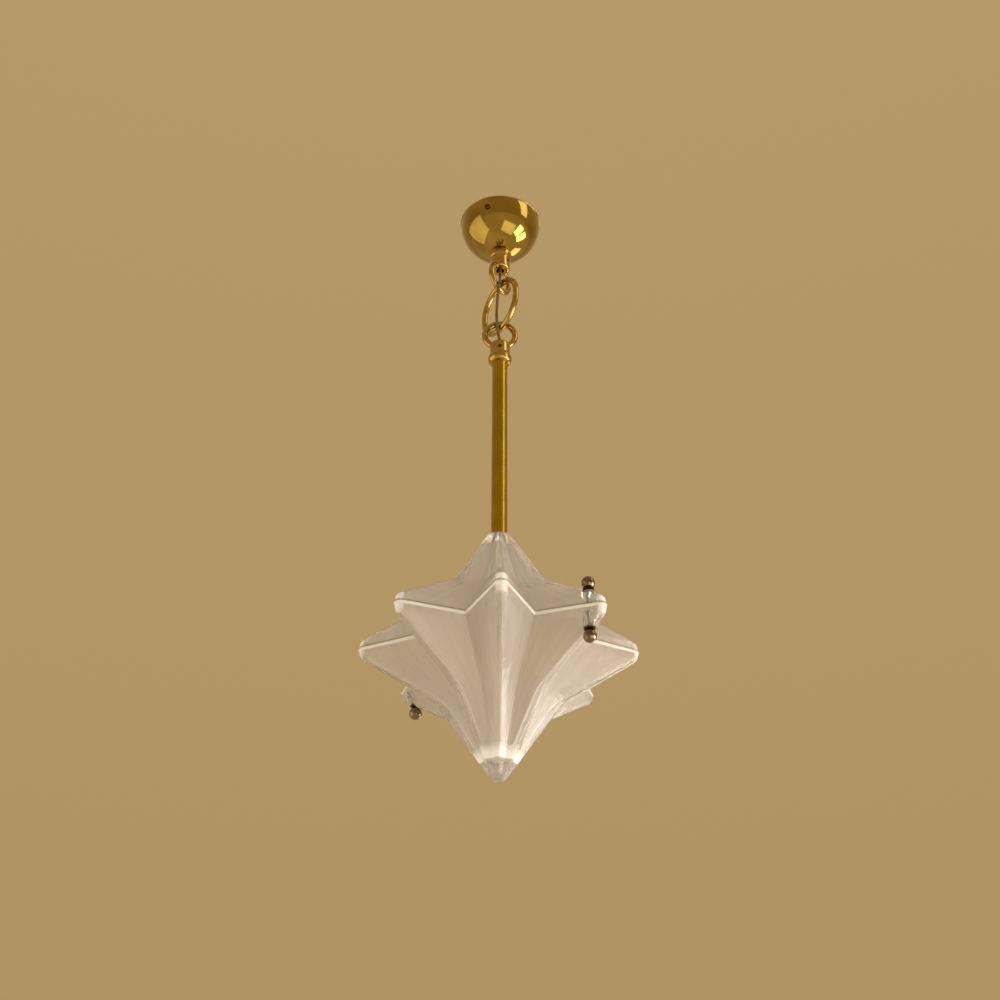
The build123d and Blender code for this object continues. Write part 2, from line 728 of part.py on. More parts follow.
def flex(points):
    """Round flex along straight runs joined by arcs."""
    radii = corner_radii(points)
    print("bend radii", [round(radius, 1) for radius in radii])
    path = FilletPolyline(*points, radius=radii) if radii else Line(*points)
    start = Plane(origin=path @ 0, z_dir=path % 0)
    return sweep(start * Circle(flex_radius), path=path)


wire_hole_z = -plate_thickness - block_height / 2
block_face_y = block_offset - block_depth / 2
canopy_exit_z = canopy_face - loop_length
stem_entry_z = stem_foot_z + loop_length
span_route = [
    (0, 0, canopy_exit_z),
    (0, 0, canopy_exit_z - 4),
    (-0.4, -12.2, link_top - 4),
    (-3.0, -8.0, link_top - 22),
    (-4.1, -7.0, link_bottom + 2),
    (0, 0, stem_entry_z + 5),
    (0, 0, stem_entry_z),
]
canopy_route = [
    (0, block_face_y + terminal_flex_entry, wire_hole_z),
    (0, block_face_y / 2, wire_hole_z),
    (0, 0, wire_hole_z - block_face_y / 2),
    (0, 0, canopy_exit_z),
]
span = flex(span_route)
span_middle = (link_top + link_bottom) / 2
save(flex(canopy_route), "flex_canopy")
save(span & pipe(link_radius, 0, span_middle, canopy_exit_z), "flex_span_upper")
save(span & pipe(link_radius, 0, stem_entry_z, span_middle), "flex_span_lower")
save(flex([(0, 0, stem_entry_z), (0, 0, core_top_z - core_thickness / 2)]), "flex_stem")
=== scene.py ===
import math

import bmesh
import bpy
from mathutils import Matrix, Vector


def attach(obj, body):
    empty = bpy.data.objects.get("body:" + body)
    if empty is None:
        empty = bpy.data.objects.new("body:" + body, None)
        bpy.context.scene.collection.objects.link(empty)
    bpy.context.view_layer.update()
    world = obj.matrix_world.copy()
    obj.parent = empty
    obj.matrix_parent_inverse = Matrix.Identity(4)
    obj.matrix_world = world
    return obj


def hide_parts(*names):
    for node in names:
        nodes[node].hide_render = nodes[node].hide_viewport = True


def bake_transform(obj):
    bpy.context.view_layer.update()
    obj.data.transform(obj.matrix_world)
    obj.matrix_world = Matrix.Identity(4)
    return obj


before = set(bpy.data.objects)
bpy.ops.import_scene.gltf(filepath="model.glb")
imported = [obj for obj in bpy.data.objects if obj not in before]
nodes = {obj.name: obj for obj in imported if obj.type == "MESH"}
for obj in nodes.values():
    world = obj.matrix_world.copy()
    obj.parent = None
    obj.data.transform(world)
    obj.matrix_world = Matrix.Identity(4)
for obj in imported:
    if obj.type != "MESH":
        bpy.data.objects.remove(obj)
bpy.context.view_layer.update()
mm = 0.001

# ------------------------ studio
# The pendant hangs free in a plain pale studio. The camera stands low, a little to the left of the
# front arm, and looks up as a person does who stands under the light.
camera_distance = 1.2103
camera_height = -1.2006
camera_aside = 0.00065
camera_yaw = math.radians(-0.91)
camera_pitch = math.radians(34.19)
camera_roll = math.radians(0.19)

camera = bpy.data.objects.new("camera", bpy.data.cameras.new("camera"))
camera.data.lens = 53.13
camera.data.sensor_width = 36.0
camera.data.clip_start = 0.05
camera.data.clip_end = 40.0
eye_point = (camera_aside, -camera_distance, camera_height)
stand = Matrix.Rotation(camera_yaw, 4, "Z") @ Matrix.Translation(eye_point)
tilt = Matrix.Rotation(math.pi / 2 + camera_pitch, 4, "X") @ Matrix.Rotation(camera_roll, 4, "Z")
camera.matrix_world = stand @ tilt
bpy.context.scene.collection.objects.link(camera)
bpy.context.scene.camera = camera
bpy.context.scene.view_settings.view_transform = "Standard"


def linear(code):
    """An sRGB hex colour as linear RGBA."""
    values = [int(code[i:i + 2], 16) / 255 for i in (1, 3, 5)]
    return [v / 12.92 if v <= 0.04045 else ((v + 0.055) / 1.055) ** 2.4 for v in values] + [1.0]


def add(tree, kind, inputs=None, stops=(), **settings):
    """Adds a node with its settings, its inputs' values or links, and a ramp's sRGB stops.

    A node given as an input stands for its first output."""
    made = tree.nodes.new(kind)
    for name, value in settings.items():
        setattr(made, name, value)
    for name, value in (inputs or {}).items():
        value = value.outputs[0] if isinstance(value, bpy.types.Node) else value
        if isinstance(value, bpy.types.NodeSocket):
            tree.links.new(value, made.inputs[name])
        else:
            made.inputs[name].default_value = value
    for number, (place, code) in enumerate(stops):
        if number > 1:
            made.color_ramp.elements.new(place)
        made.color_ramp.elements[number].position = place
        made.color_ramp.elements[number].color = linear(code)
    return made


def new_material(name):
    """A material with an empty tree, and its object coordinates."""
    material = bpy.data.materials.new(name)
    material.use_nodes = True
    material.node_tree.nodes.clear()
    return material, material.node_tree, add(material.node_tree, "ShaderNodeTexCoord").outputs["Object"]


def surface(tree, shader):
    """Sends a shader to the material's surface."""
    add(tree, "ShaderNodeOutputMaterial", {"Surface": shader})


# Plain warm backdrop, seen by the camera and in metal and glass; a soft white sky lights the object
world = bpy.data.worlds.new("studio")
bpy.context.scene.world = world
world.use_nodes = True
world.node_tree.nodes.clear()
tree = world.node_tree
path = add(tree, "ShaderNodeLightPath")
direction = add(tree, "ShaderNodeTexCoord")
height = add(tree, "ShaderNodeSeparateXYZ", {"Vector": direction.outputs["Generated"]})
level = add(tree, "ShaderNodeMapRange", {"Value": height.outputs["Z"], "From Min": -1.0, "From Max": 1.0})
pale = add(tree, "ShaderNodeValToRGB", {"Fac": level},
           stops=((0.0, "#A4875A"), (0.55, "#AE9160"), (1.0, "#B99B6C")))
seen = add(tree, "ShaderNodeMath", {0: path.outputs["Is Camera Ray"], 1: path.outputs["Is Glossy Ray"]},
           operation="MAXIMUM")
seen = add(tree, "ShaderNodeMath", {0: seen, 1: path.outputs["Is Transmission Ray"]},
           operation="MAXIMUM")
lighting = add(tree, "ShaderNodeBackground", {"Color": linear("#FFF8F0"), "Strength": 1.0})
backdrop = add(tree, "ShaderNodeBackground", {"Color": pale, "Strength": 1.0})
both = add(tree, "ShaderNodeMixShader", {"Fac": seen, 1: lighting, 2: backdrop})
add(tree, "ShaderNodeOutputWorld", {"Surface": both})

# Floor: painted board, matt and faintly uneven from the roller
floor_height = -2.2
floor_reach = 24.0
square = ((-1, -1), (1, -1), (1, 1), (-1, 1))
corners = [(x * floor_reach, y * floor_reach, floor_height) for x, y in square]
floor_mesh = bpy.data.meshes.new("floor")
floor_mesh.from_pydata(corners, [], [(0, 1, 2, 3)])
floor = bpy.data.objects.new("floor", floor_mesh)
bpy.context.scene.collection.objects.link(floor)
painted_board, tree, place = new_material("painted_board")
roller = add(tree, "ShaderNodeTexNoise", {"Vector": place, "Scale": 3.0, "Detail": 2.0})
shade = add(tree, "ShaderNodeValToRGB", {"Fac": roller}, stops=((0.0, "#C4AF88"), (1.0, "#CAB690")))
surface(tree, add(tree, "ShaderNodeBsdfPrincipled", {"Base Color": shade, "Roughness": 0.8}))
floor_mesh.materials.append(painted_board)

# Soft boxes: two panes low on the right, a tall dim one above them, a low one in front, one behind
# and a broad weak fill on the left, all turned to a point near the star
lamp_aim = Vector((0, 0, -0.42))
for name, spot, size, power, colour in (
    ("pane_right", (1.25, -0.38, -0.86), (0.44, 0.8), 8.0, "#FFF8F0"),
    ("pane_far_right", (1.3, 0.16, -0.86), (0.4, 0.8), 6.8, "#FFF8F0"),
    ("high_right", (1.2, -0.56, 0.6), (0.5, 1.0), 3.0, "#FFF8F0"),
    ("low_front", (0.7, -1.05, -1.3), (1.2, 1.0), 4.6, "#FFF6EC"),
    ("back_right", (0.8, 1.1, -0.9), (0.6, 0.6), 3.0, "#FFF8EE"),
    ("left_fill", (-1.9, -0.2, -0.9), (2.2, 2.2), 12.0, "#FFF6EC"),
):
    lamp = bpy.data.objects.new(name, bpy.data.lights.new(name, "AREA"))
    lamp.data.shape = "RECTANGLE"
    lamp.data.size, lamp.data.size_y = size
    lamp.data.energy = power
    lamp.data.color = linear(colour)[:3]
    aim = lamp_aim - Vector(spot)
    lamp.matrix_world = Matrix.Translation(spot) @ aim.to_track_quat("-Z", "Y").to_matrix().to_4x4()
    bpy.context.scene.collection.objects.link(lamp)

# ------------------------ ceiling plate and steel fittings
# Pressed steel plate behind the dome, zinc plated and passivated, held by two ceiling screws. The
# washer, the neck plate and the block's screw are the same stock. Zinc shows a grey bloom.
zinc_plated_steel, tree, place = new_material("zinc_plated_steel")
spangle = add(tree, "ShaderNodeTexVoronoi", {"Vector": place, "Scale": 1 / (3 * mm)})
bloom = add(tree, "ShaderNodeTexNoise", {"Vector": place, "Scale": 1 / (12 * mm), "Detail": 3.0})
patches = add(tree, "ShaderNodeMix", {"Factor": 0.5, "A": spangle.outputs["Distance"], "B": bloom})
shade = add(tree, "ShaderNodeValToRGB", {"Fac": patches}, stops=((0.2, "#9C9A93"), (0.8, "#BDBBB4")))
dull = add(tree, "ShaderNodeMapRange", {"Value": patches, "To Min": 0.28, "To Max": 0.5})
surface(tree, add(tree, "ShaderNodeBsdfPrincipled", {
    "Base Color": shade, "Metallic": 1.0, "Roughness": dull}))


def finish(material, *names):
    """Gives the frame's own pieces a material."""
    for name in names:
        for held in nodes[name].material_slots:
            held.material = material


finish(zinc_plated_steel, "ceiling_plate", "terminal_block_screw", "canopy_washer", "neck_plate")

# ------------------------ terminal block
# Three-way block and bush moulded in white nylon, with bright turned brass clamp screws sunk in
# the block. Nylon is slightly waxy, with the fine grain of a spark-eroded mould.
moulded_nylon, tree, place = new_material("moulded_nylon")
spark = add(tree, "ShaderNodeTexNoise", {"Vector": place, "Scale": 1 / (0.4 * mm), "Detail": 2.0})
cloud = add(tree, "ShaderNodeTexNoise", {"Vector": place, "Scale": 1 / (15 * mm)})
shade = add(tree, "ShaderNodeValToRGB", {"Fac": cloud}, stops=((0.3, "#DCD7C8"), (0.7, "#E6E2D6")))
grain = add(tree, "ShaderNodeBump", {"Height": spark, "Strength": 0.15, "Distance": 0.05 * mm})
surface(tree, add(tree, "ShaderNodeBsdfPrincipled", {
    "Base Color": shade, "Roughness": 0.45, "Normal": grain}))
finish(moulded_nylon, "terminal_block", "canopy_bush")

# Freshly turned brass has a clear yellow shine, broken up by fine tool marks
bright_turned_brass, tree, place = new_material("bright_turned_brass")
turning = add(tree, "ShaderNodeTexNoise", {"Vector": place, "Scale": 1 / (0.6 * mm), "Detail": 1.0})
shade = add(tree, "ShaderNodeValToRGB", {"Fac": turning}, stops=((0.3, "#C39C4E"), (0.7, "#D8B665")))
surface(tree, add(tree, "ShaderNodeBsdfPrincipled", {
    "Base Color": shade, "Metallic": 1.0, "Roughness": 0.25}))
finish(bright_turned_brass, "terminal_screws")

# ------------------------ ceiling dome
# Spun brass dome with a rolled lip against the ceiling and a small flat for the loop, lacquered and
# dulled by age. Spinning leaves faint rings round the axis under the polish.
dome_radius = 44.4
dome_wall = 1.2
dome_skirt = 2.1
dome_lip = 0.6
dome_flat = 11.5
dome_hole = 5.3
dome_screw_angle = math.radians(-20.6)
dome_screw_drop = 13.0
dome_screw_hole = 2.3
dome_face = -(dome_skirt + math.sqrt(dome_radius**2 - dome_flat**2))

# A wave texture repeats every tau / 20 of its unit, so these rings stand 1.9 mm apart
spun_brass, tree, place = new_material("spun_lacquered_brass")
rings = add(tree, "ShaderNodeTexWave", {"Vector": place, "Scale": 1 / (6 * mm), "Distortion": 0.6},
            wave_type="BANDS", bands_direction="Z")
tarnish = add(tree, "ShaderNodeTexNoise", {"Vector": place, "Scale": 1 / (18 * mm), "Detail": 4.0})
shade = add(tree, "ShaderNodeValToRGB", {"Fac": tarnish}, stops=((0.3, "#987C22"), (0.7, "#AE902E")))
dull = add(tree, "ShaderNodeMapRange", {"Value": tarnish, "To Min": 0.06, "To Max": 0.14})
spun = add(tree, "ShaderNodeBump", {
    "Height": rings.outputs["Fac"], "Strength": 0.04, "Distance": 0.05 * mm})
surface(tree, add(tree, "ShaderNodeBsdfPrincipled", {
    "Base Color": shade, "Metallic": 1.0, "Roughness": dull,
    "Coat Weight": 0.8, "Coat Roughness": 0.04, "Normal": spun}))


def arc(centre_radius, centre_height, radius, start, end, steps):
    """Points of a round stretch of an outline, from one angle to another in degrees."""
    turns = [math.radians(start + (end - start) * step / steps) for step in range(steps + 1)]
    return [(centre_radius + radius * math.cos(t), centre_height + radius * math.sin(t)) for t in turns]


def turned(name, outline, closed, steps=128):
    """Spins an outline of (radius, height) in millimetres about the axis."""
    form = bmesh.new()
    rings = []
    for radius, height in outline:
        turns = [math.tau * step / steps for step in range(steps)] if radius > 0 else [0.0]
        rings.append([form.verts.new((radius * math.cos(t) * mm, radius * math.sin(t) * mm, height * mm))
                      for t in turns])
    for low, high in zip(rings, rings[1:] + rings[:1] if closed else rings[1:]):
        for step in range(steps):
            after = (step + 1) % steps
            corners = (low[step % len(low)], low[after % len(low)],
                       high[after % len(high)], high[step % len(high)])
            form.faces.new(list(dict.fromkeys(corners)))
    bmesh.ops.recalc_face_normals(form, faces=form.faces)
    mesh = bpy.data.meshes.new(name)
    form.to_mesh(mesh)
    form.free()
    return mesh


def shown(name, mesh, material=None):
    """A piece in the scene, at the origin, with its place in its mesh."""
    made = bpy.data.objects.new(name, mesh)
    bpy.context.scene.collection.objects.link(made)
    if material:
        mesh.materials.append(material)
    return made


def worked(made):
    """Carries out a piece's modifiers and leaves it a plain mesh, without empty material slots."""
    depsgraph = bpy.context.evaluated_depsgraph_get()
    mesh = bpy.data.meshes.new_from_object(made.evaluated_get(depsgraph), depsgraph=depsgraph)
    for number in reversed(range(len(mesh.materials))):
        if mesh.materials[number] is None:
            mesh.materials.pop(index=number)
    made.modifiers.clear()
    made.data = mesh
    return made


def smoothed(made, corner=35):
    """Smooth shading, with edges sharper than the corner left crisp."""
    made.data.shade_smooth()
    made.data.set_sharp_from_angle(angle=math.radians(corner))
    return made


def cut(made, *cutters, operation="DIFFERENCE"):
    """Cuts meshes out of a piece, or joins them to it."""
    tools = [shown("cutter", mesh) for mesh in cutters]
    for tool in tools:
        change = made.modifiers.new("cut", "BOOLEAN")
        change.object = tool
        change.operation = operation
        change.solver = "MANIFOLD"
    worked(made)
    for tool in tools:
        bpy.data.objects.remove(tool)
    return made


def rod(radius, low, high, place=None, steps=64):
    """A round cutter between two heights, turned and moved by a matrix."""
    mesh = turned("rod", [(0, low), (radius, low), (radius, high), (0, high)], False, steps)
    if place:
        mesh.transform(place)
    return mesh


flat_turn = math.degrees(math.acos(dome_flat / dome_radius))
inner_radius = dome_radius - dome_wall
inner_face = dome_face + dome_wall
inner_turn = math.degrees(math.asin(-(inner_face + dome_skirt) / inner_radius))
dome_outline = (
    arc(dome_radius, -dome_lip, dome_lip, 90, -90, 8)
    + arc(0, -dome_skirt, dome_radius, 0, -flat_turn, 64)
    + [(dome_hole, dome_face), (dome_hole, inner_face)]
    + arc(0, -dome_skirt, inner_radius, -inner_turn, 0, 64)
    + [(inner_radius, 0)]
)
dome = shown("ceiling_dome", turned("ceiling_dome", dome_outline, True, 192), spun_brass)
out_front = Matrix.Translation((0, 0, -dome_screw_drop * mm)) @ Matrix.Rotation(math.pi / 2, 4, "X")
screw_ways = [Matrix.Rotation(dome_screw_angle + turn, 4, "Z") @ out_front for turn in (0, math.pi)]
cut(dome, *[rod(dome_screw_hole, 20, 60, way) for way in screw_ways])
smoothed(dome)
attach(dome, "ceiling")
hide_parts("canopy")

# ------------------------ dome screws
# Two slotted round-head screws of turned brass, which hold the dome to the plate's ears. The brass is
# coloured dark brown, with a dull glint.
dark_brass, tree, place = new_material("dark_turned_brass")
brown_mottle = add(tree, "ShaderNodeTexNoise", {"Vector": place, "Scale": 1 / (2 * mm), "Detail": 3.0})
shade = add(tree, "ShaderNodeValToRGB", {"Fac": brown_mottle}, stops=((0.3, "#3E2E16"), (0.7, "#6A5026")))
surface(tree, add(tree, "ShaderNodeBsdfPrincipled", {
    "Base Color": shade, "Metallic": 1.0, "Roughness": 0.3}))


def ring_of(made, copies, first, turn, materials):
    """Copies a piece round the axis; its faces' finish picks each one's material."""
    tree = bpy.data.node_groups.new("ring_of_" + made.name, "GeometryNodeTree")
    tree.interface.new_socket("Piece", in_out="INPUT", socket_type="NodeSocketGeometry")
    sizes = {}
    for name, kind, value in (("Copies", "NodeSocketInt", copies), ("First Turn", "NodeSocketFloat", first),
                              ("Turn", "NodeSocketFloat", turn)):
        sizes[tree.interface.new_socket(name, in_out="INPUT", socket_type=kind).identifier] = value
    tree.interface.new_socket("Ring", in_out="OUTPUT", socket_type="NodeSocketGeometry")
    given = add(tree, "NodeGroupInput")
    points = add(tree, "GeometryNodePoints", {"Count": given.outputs["Copies"]})
    number = add(tree, "GeometryNodeInputIndex")
    turns = add(tree, "ShaderNodeMath", {0: number, 1: given.outputs["Turn"],
                                         2: given.outputs["First Turn"]}, operation="MULTIPLY_ADD")
    spin = add(tree, "ShaderNodeCombineXYZ", {"Z": turns})
    placed = add(tree, "GeometryNodeInstanceOnPoints", {
        "Points": points, "Instance": given.outputs["Piece"], "Rotation": spin})
    real = add(tree, "GeometryNodeRealizeInstances", {"Geometry": placed})
    last = add(tree, "GeometryNodeMergeByDistance", {"Geometry": real, "Distance": 0.01 * mm})
    face_finish = add(tree, "GeometryNodeInputNamedAttribute", {"Name": "finish"}, data_type="INT")
    for finish_number, material in enumerate(materials):
        chosen = add(tree, "FunctionNodeCompare", {2: face_finish, 3: finish_number},
                     data_type="INT", operation="EQUAL")
        last = add(tree, "GeometryNodeSetMaterial", {
            "Geometry": last, "Selection": chosen, "Material": material})
    add(tree, "NodeGroupOutput", {"Ring": last})
    change = made.modifiers.new("ring", "NODES")
    change.node_group = tree
    for identifier, value in sizes.items():
        change[identifier] = value
    return worked(made)


head_radius = 3.3
head_height = 2.0
head_seat = math.sqrt(dome_radius**2 - (dome_screw_drop - dome_skirt - head_radius) ** 2)
shank_end = 35.2
shank_radius = 2.0
slot_size = (8, 0.9, 1.6)
head_ball = (head_radius**2 + head_height**2) / (2 * head_height)
head_turn = math.degrees(math.asin(head_radius / head_ball))
screw_outline = [(0, shank_end), (shank_radius, shank_end), (shank_radius, head_seat)]
screw_outline += arc(0, head_seat + head_height - head_ball, head_ball, 90 - head_turn, 90, 10)[:-1]
screw_outline += [(0, head_seat + head_height)]
dome_screws = shown("dome_screws", turned("dome_screws", screw_outline, False, 48))
form = bmesh.new()
bmesh.ops.create_cube(form, size=mm)
slot_mesh = bpy.data.meshes.new("slot")
form.to_mesh(slot_mesh)
form.free()
head_top = Matrix.Translation((0, 0, (head_seat + head_height) * mm))
slot_mesh.transform(head_top @ Matrix.Diagonal((*slot_size, 1)))
cut(dome_screws, slot_mesh)
dome_screws.data.transform(out_front)
ring_of(dome_screws, 2, dome_screw_angle, math.pi, [dark_brass])
smoothed(dome_screws)
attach(dome_screws, "ceiling")
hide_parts("canopy_screws")

# ------------------------ nipples and nuts
# M10 hollow threaded tube, its nuts and the tube's end bushes, all turned brass out of sight, and the
# small grub screws that lock the cast loops on it.
# On the grub screws the dark brown is painted shade: it stands for the dark of the holes they sit in.
finish(dark_brass, "canopy_nut", "canopy_nipple", "stem_top_nipple", "stem_top_bush", "stem_bottom_bush",
       "stem_bottom_nipple", "neck_nut", "canopy_loop_screw", "stem_loop_screw")

# ------------------------ cast loops
# Sand-cast brass loops: a beaded foot, a bored body and a round eye that flows into it. The upper
# one hangs from the dome, the lower one is the same casting upside down. Polishing leaves a soft
# shine that follows the casting's slightly uneven skin.
wire_radius = 3.25
eye_radius = 16.2
eye_drop = 38.3
loop_length = 26.3
foot_bore = 5.05
foot_depth = 18.5
flex_bore = 4.4
grub_hole = 2.05
grub_height = 16
loop_pitch = 2 * wire_radius + 0.3
link_radius = 30.2
link_straight = 3.2
link_angle = math.radians(-57)
ring_bottom = dome_face - eye_drop - eye_radius
link_top = ring_bottom + loop_pitch
link_bottom = link_top - 2 * link_radius - link_straight
stem_foot = link_bottom + loop_pitch - eye_radius - eye_drop

cast_brass, tree, place = new_material("cast_polished_brass")
tumble = add(tree, "ShaderNodeTexNoise", {"Vector": place, "Scale": 1 / (5 * mm), "Detail": 4.0})
pits = add(tree, "ShaderNodeTexNoise", {"Vector": place, "Scale": 1 / (0.8 * mm), "Detail": 2.0})
shade = add(tree, "ShaderNodeValToRGB", {"Fac": tumble}, stops=((0.3, "#A68539"), (0.7, "#BE9F50")))
dull = add(tree, "ShaderNodeMapRange", {"Value": tumble, "To Min": 0.12, "To Max": 0.26})
skin = add(tree, "ShaderNodeBump", {"Height": pits, "Strength": 0.03, "Distance": 0.05 * mm})
surface(tree, add(tree, "ShaderNodeBsdfPrincipled", {
    "Base Color": shade, "Metallic": 1.0, "Roughness": dull,
    "Coat Weight": 0.6, "Coat Roughness": 0.05, "Normal": skin}))


def cast_loop(name, eye_angle, screw_angle, place):
    """The casting with its foot at the origin, its eye below, then put in place."""
    bead = [(9.6, 0), (11.0, -1.0), (12.1, -2.8), (12.6, -5.5), (12.1, -8.2), (10.95, -10.0)]
    barrel = [(10.75, -11.5), (10.75, -23.1)] + arc(7.55, -23.1, 3.2, 0, -90, 6)
    made = shown(name, turned(name, [(0, 0)] + bead + barrel + [(0, -loop_length)], False, 96))
    eye = bmesh.new()
    eye.from_mesh(made.data)
    stand_up = Matrix.Translation((0, 0, -eye_drop * mm)) @ Matrix.Rotation(eye_angle, 4, "Z")
    eye_steps, wire_steps = 128, 32
    turns = [math.tau * turn / wire_steps for turn in range(wire_steps)]
    wire_round = [Vector((wire_radius * mm * math.cos(t), wire_radius * mm * math.sin(t), 0)) for t in turns]
    at_radius = Matrix.Translation((eye_radius * mm, 0, 0))
    rings = []
    for step in range(eye_steps):
        out = Matrix.Rotation(math.tau * step / eye_steps, 4, "Y") @ at_radius
        rings.append([eye.verts.new(stand_up @ out @ point) for point in wire_round])
    for low, high in zip(rings, rings[1:] + rings[:1]):
        for turn in range(wire_steps):
            after = (turn + 1) % wire_steps
            eye.faces.new((low[turn], low[after], high[after], high[turn]))
    bmesh.ops.recalc_face_normals(eye, faces=eye.faces)
    eye.to_mesh(made.data)
    eye.free()
    melt = made.modifiers.new("melt", "REMESH")
    melt.mode = "VOXEL"
    melt.voxel_size = 0.34 * mm
    polish = made.modifiers.new("polish", "SMOOTH")
    polish.factor = 0.5
    polish.iterations = 8
    worked(made)
    grub_way = Matrix.Rotation(screw_angle, 4, "Z") @ Matrix.Translation((0, 0, -grub_height * mm))
    cut(made, rod(foot_bore, -foot_depth, 1), rod(flex_bore, -loop_length - wire_radius, 0.5 - foot_depth),
        rod(grub_hole, 5, 14, grub_way @ Matrix.Rotation(math.pi / 2, 4, "X")))
    made.data.transform(place)
    made.data.materials.clear()
    made.data.materials.append(cast_brass)
    return smoothed(made)


under_dome = Matrix.Translation((0, 0, dome_face * mm))
loop_above = cast_loop("loop_under_dome", math.radians(54), math.radians(52), under_dome)
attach(loop_above, "ceiling")
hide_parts("canopy_loop")
upside_down = Matrix.Translation((0, 0, stem_foot * mm)) @ Matrix.Rotation(math.pi, 4, "Y")
loop_below = cast_loop("loop_on_stem", 0.0, 0.0, upside_down)
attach(loop_below, "stem")
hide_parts("stem_loop")

# ------------------------ free link
# One oval link of 6.5 mm brass wire, bent and brazed shut, polished like the loops it joins.
tree = bpy.data.node_groups.new("bent_link", "GeometryNodeTree")
link_sizes = {}
for name, value in (("Bend Radius", link_radius), ("Straight", link_straight), ("Wire Radius", wire_radius)):
    socket = tree.interface.new_socket(name, in_out="INPUT", socket_type="NodeSocketFloat")
    link_sizes[socket.identifier] = value * mm
tree.interface.new_socket("Link", in_out="OUTPUT", socket_type="NodeSocketGeometry")
given = add(tree, "NodeGroupInput")
bend = add(tree, "GeometryNodeCurvePrimitiveCircle", {
    "Resolution": 160, "Radius": given.outputs["Bend Radius"]})
where = add(tree, "GeometryNodeInputPosition")
apart = add(tree, "ShaderNodeSeparateXYZ", {"Vector": where})
half = add(tree, "ShaderNodeMath", {0: apart.outputs["Y"]}, operation="SIGN")
shift = add(tree, "ShaderNodeMath", {0: half, 1: given.outputs["Straight"]}, operation="MULTIPLY")
shift = add(tree, "ShaderNodeMath", {0: shift, 1: 0.5}, operation="MULTIPLY")
offset = add(tree, "ShaderNodeCombineXYZ", {"Y": shift})
oval = add(tree, "GeometryNodeSetPosition", {"Geometry": bend, "Offset": offset})
wire = add(tree, "GeometryNodeCurvePrimitiveCircle", {
    "Resolution": 48, "Radius": given.outputs["Wire Radius"]})
drawn = add(tree, "GeometryNodeCurveToMesh", {"Curve": oval, "Profile Curve": wire})
hung = add(tree, "GeometryNodeTransform", {
    "Geometry": drawn, "Translation": (0, 0, (link_top + link_bottom) / 2 * mm),
    "Rotation": (math.pi / 2, 0, link_angle)})
real = add(tree, "GeometryNodeRealizeInstances", {"Geometry": hung})
dressed = add(tree, "GeometryNodeSetMaterial", {"Geometry": real, "Material": cast_brass})
add(tree, "NodeGroupOutput", {"Link": dressed})
link = shown("free_link", bpy.data.meshes.new("free_link"))
change = link.modifiers.new("bent_link", "NODES")
change.node_group = tree
for identifier, value in link_sizes.items():
    change[identifier] = value
smoothed(worked(link))
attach(link, "link")
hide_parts("chain_link")

# ------------------------ flex
# Round 3.2 mm flex in a gold PVC sheath with a low, soft shine. It leaves the upper loop's bore,
# crosses the 106 mm to the lower loop in front of the wires, and goes down its bore to the lamp.
flex_radius = 1.6
flex_exit = dome_face - loop_length
flex_entry = stem_foot + loop_length
flex_route = [
    (0, 0, flex_exit), (0, 0, flex_exit - 4), (-0.4, -12.2, link_top - 4), (-3.0, -8.0, link_top - 22),
    (-4.1, -7.0, link_bottom + 2), (0, 0, flex_entry + 5), (0, 0, flex_entry),
]
flex_middle = (link_top + link_bottom) / 2

gold_sheath, tree, place = new_material("gold_flex_sheath")
cores = add(tree, "ShaderNodeTexNoise", {"Vector": place, "Scale": 1 / (9 * mm), "Detail": 2.0})
shade = add(tree, "ShaderNodeValToRGB", {"Fac": cores}, stops=((0.3, "#5E4518"), (0.7, "#745822")))
surface(tree, add(tree, "ShaderNodeBsdfPrincipled", {
    "Base Color": shade, "Roughness": 0.4, "Specular IOR Level": 0.3}))

curve = bpy.data.curves.new("flex", "CURVE")
curve.dimensions = "3D"
curve.bevel_depth = flex_radius * mm
curve.bevel_resolution = 8
curve.use_fill_caps = True
curve.resolution_u = 20
spline = curve.splines.new("NURBS")
spline.points.add(len(flex_route) - 1)
for point, (x, y, z) in zip(spline.points, flex_route):
    point.co = (x * mm, y * mm, z * mm, 1)
spline.order_u = 3
spline.use_endpoint_u = True
whole_flex = shown("flex", curve)
depsgraph = bpy.context.evaluated_depsgraph_get()
flex_mesh = bpy.data.meshes.new_from_object(whole_flex.evaluated_get(depsgraph), depsgraph=depsgraph)
bpy.data.objects.remove(whole_flex)
for name, keep_above, bodies, start, end, node in (
    ("free_flex_upper", True, ("ceiling", "link"), flex_exit, flex_middle, "flex_span_upper"),
    ("free_flex_lower", False, ("link", "stem"), flex_middle, flex_entry, "flex_span_lower"),
):
    form = bmesh.new()
    form.from_mesh(flex_mesh)
    bmesh.ops.remove_doubles(form, verts=form.verts, dist=0.001 * mm)
    bmesh.ops.bisect_plane(form, geom=form.verts[:] + form.edges[:] + form.faces[:],
                           plane_co=(0, 0, flex_middle * mm), plane_no=(0, 0, 1),
                           clear_inner=keep_above, clear_outer=not keep_above)
    bmesh.ops.holes_fill(form, edges=[edge for edge in form.edges if edge.is_boundary])
    bmesh.ops.recalc_face_normals(form, faces=form.faces)
    half_mesh = bpy.data.meshes.new(name)
    form.to_mesh(half_mesh)
    form.free()
    span = smoothed(shown(name, half_mesh, gold_sheath))
    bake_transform(span)
    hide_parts(node)
finish(gold_sheath, "flex_canopy", "flex_stem")

# ------------------------ stem
# Drawn brass tube, 16 mm across with a 1 mm wall, lacquered. Drawing leaves fine lines along it,
# which stretch the highlights down the tube.
stem_radius = 8.0
stem_wall = 1.0
stem_length = 216.8
stem_end = stem_foot - stem_length
edge = 0.25

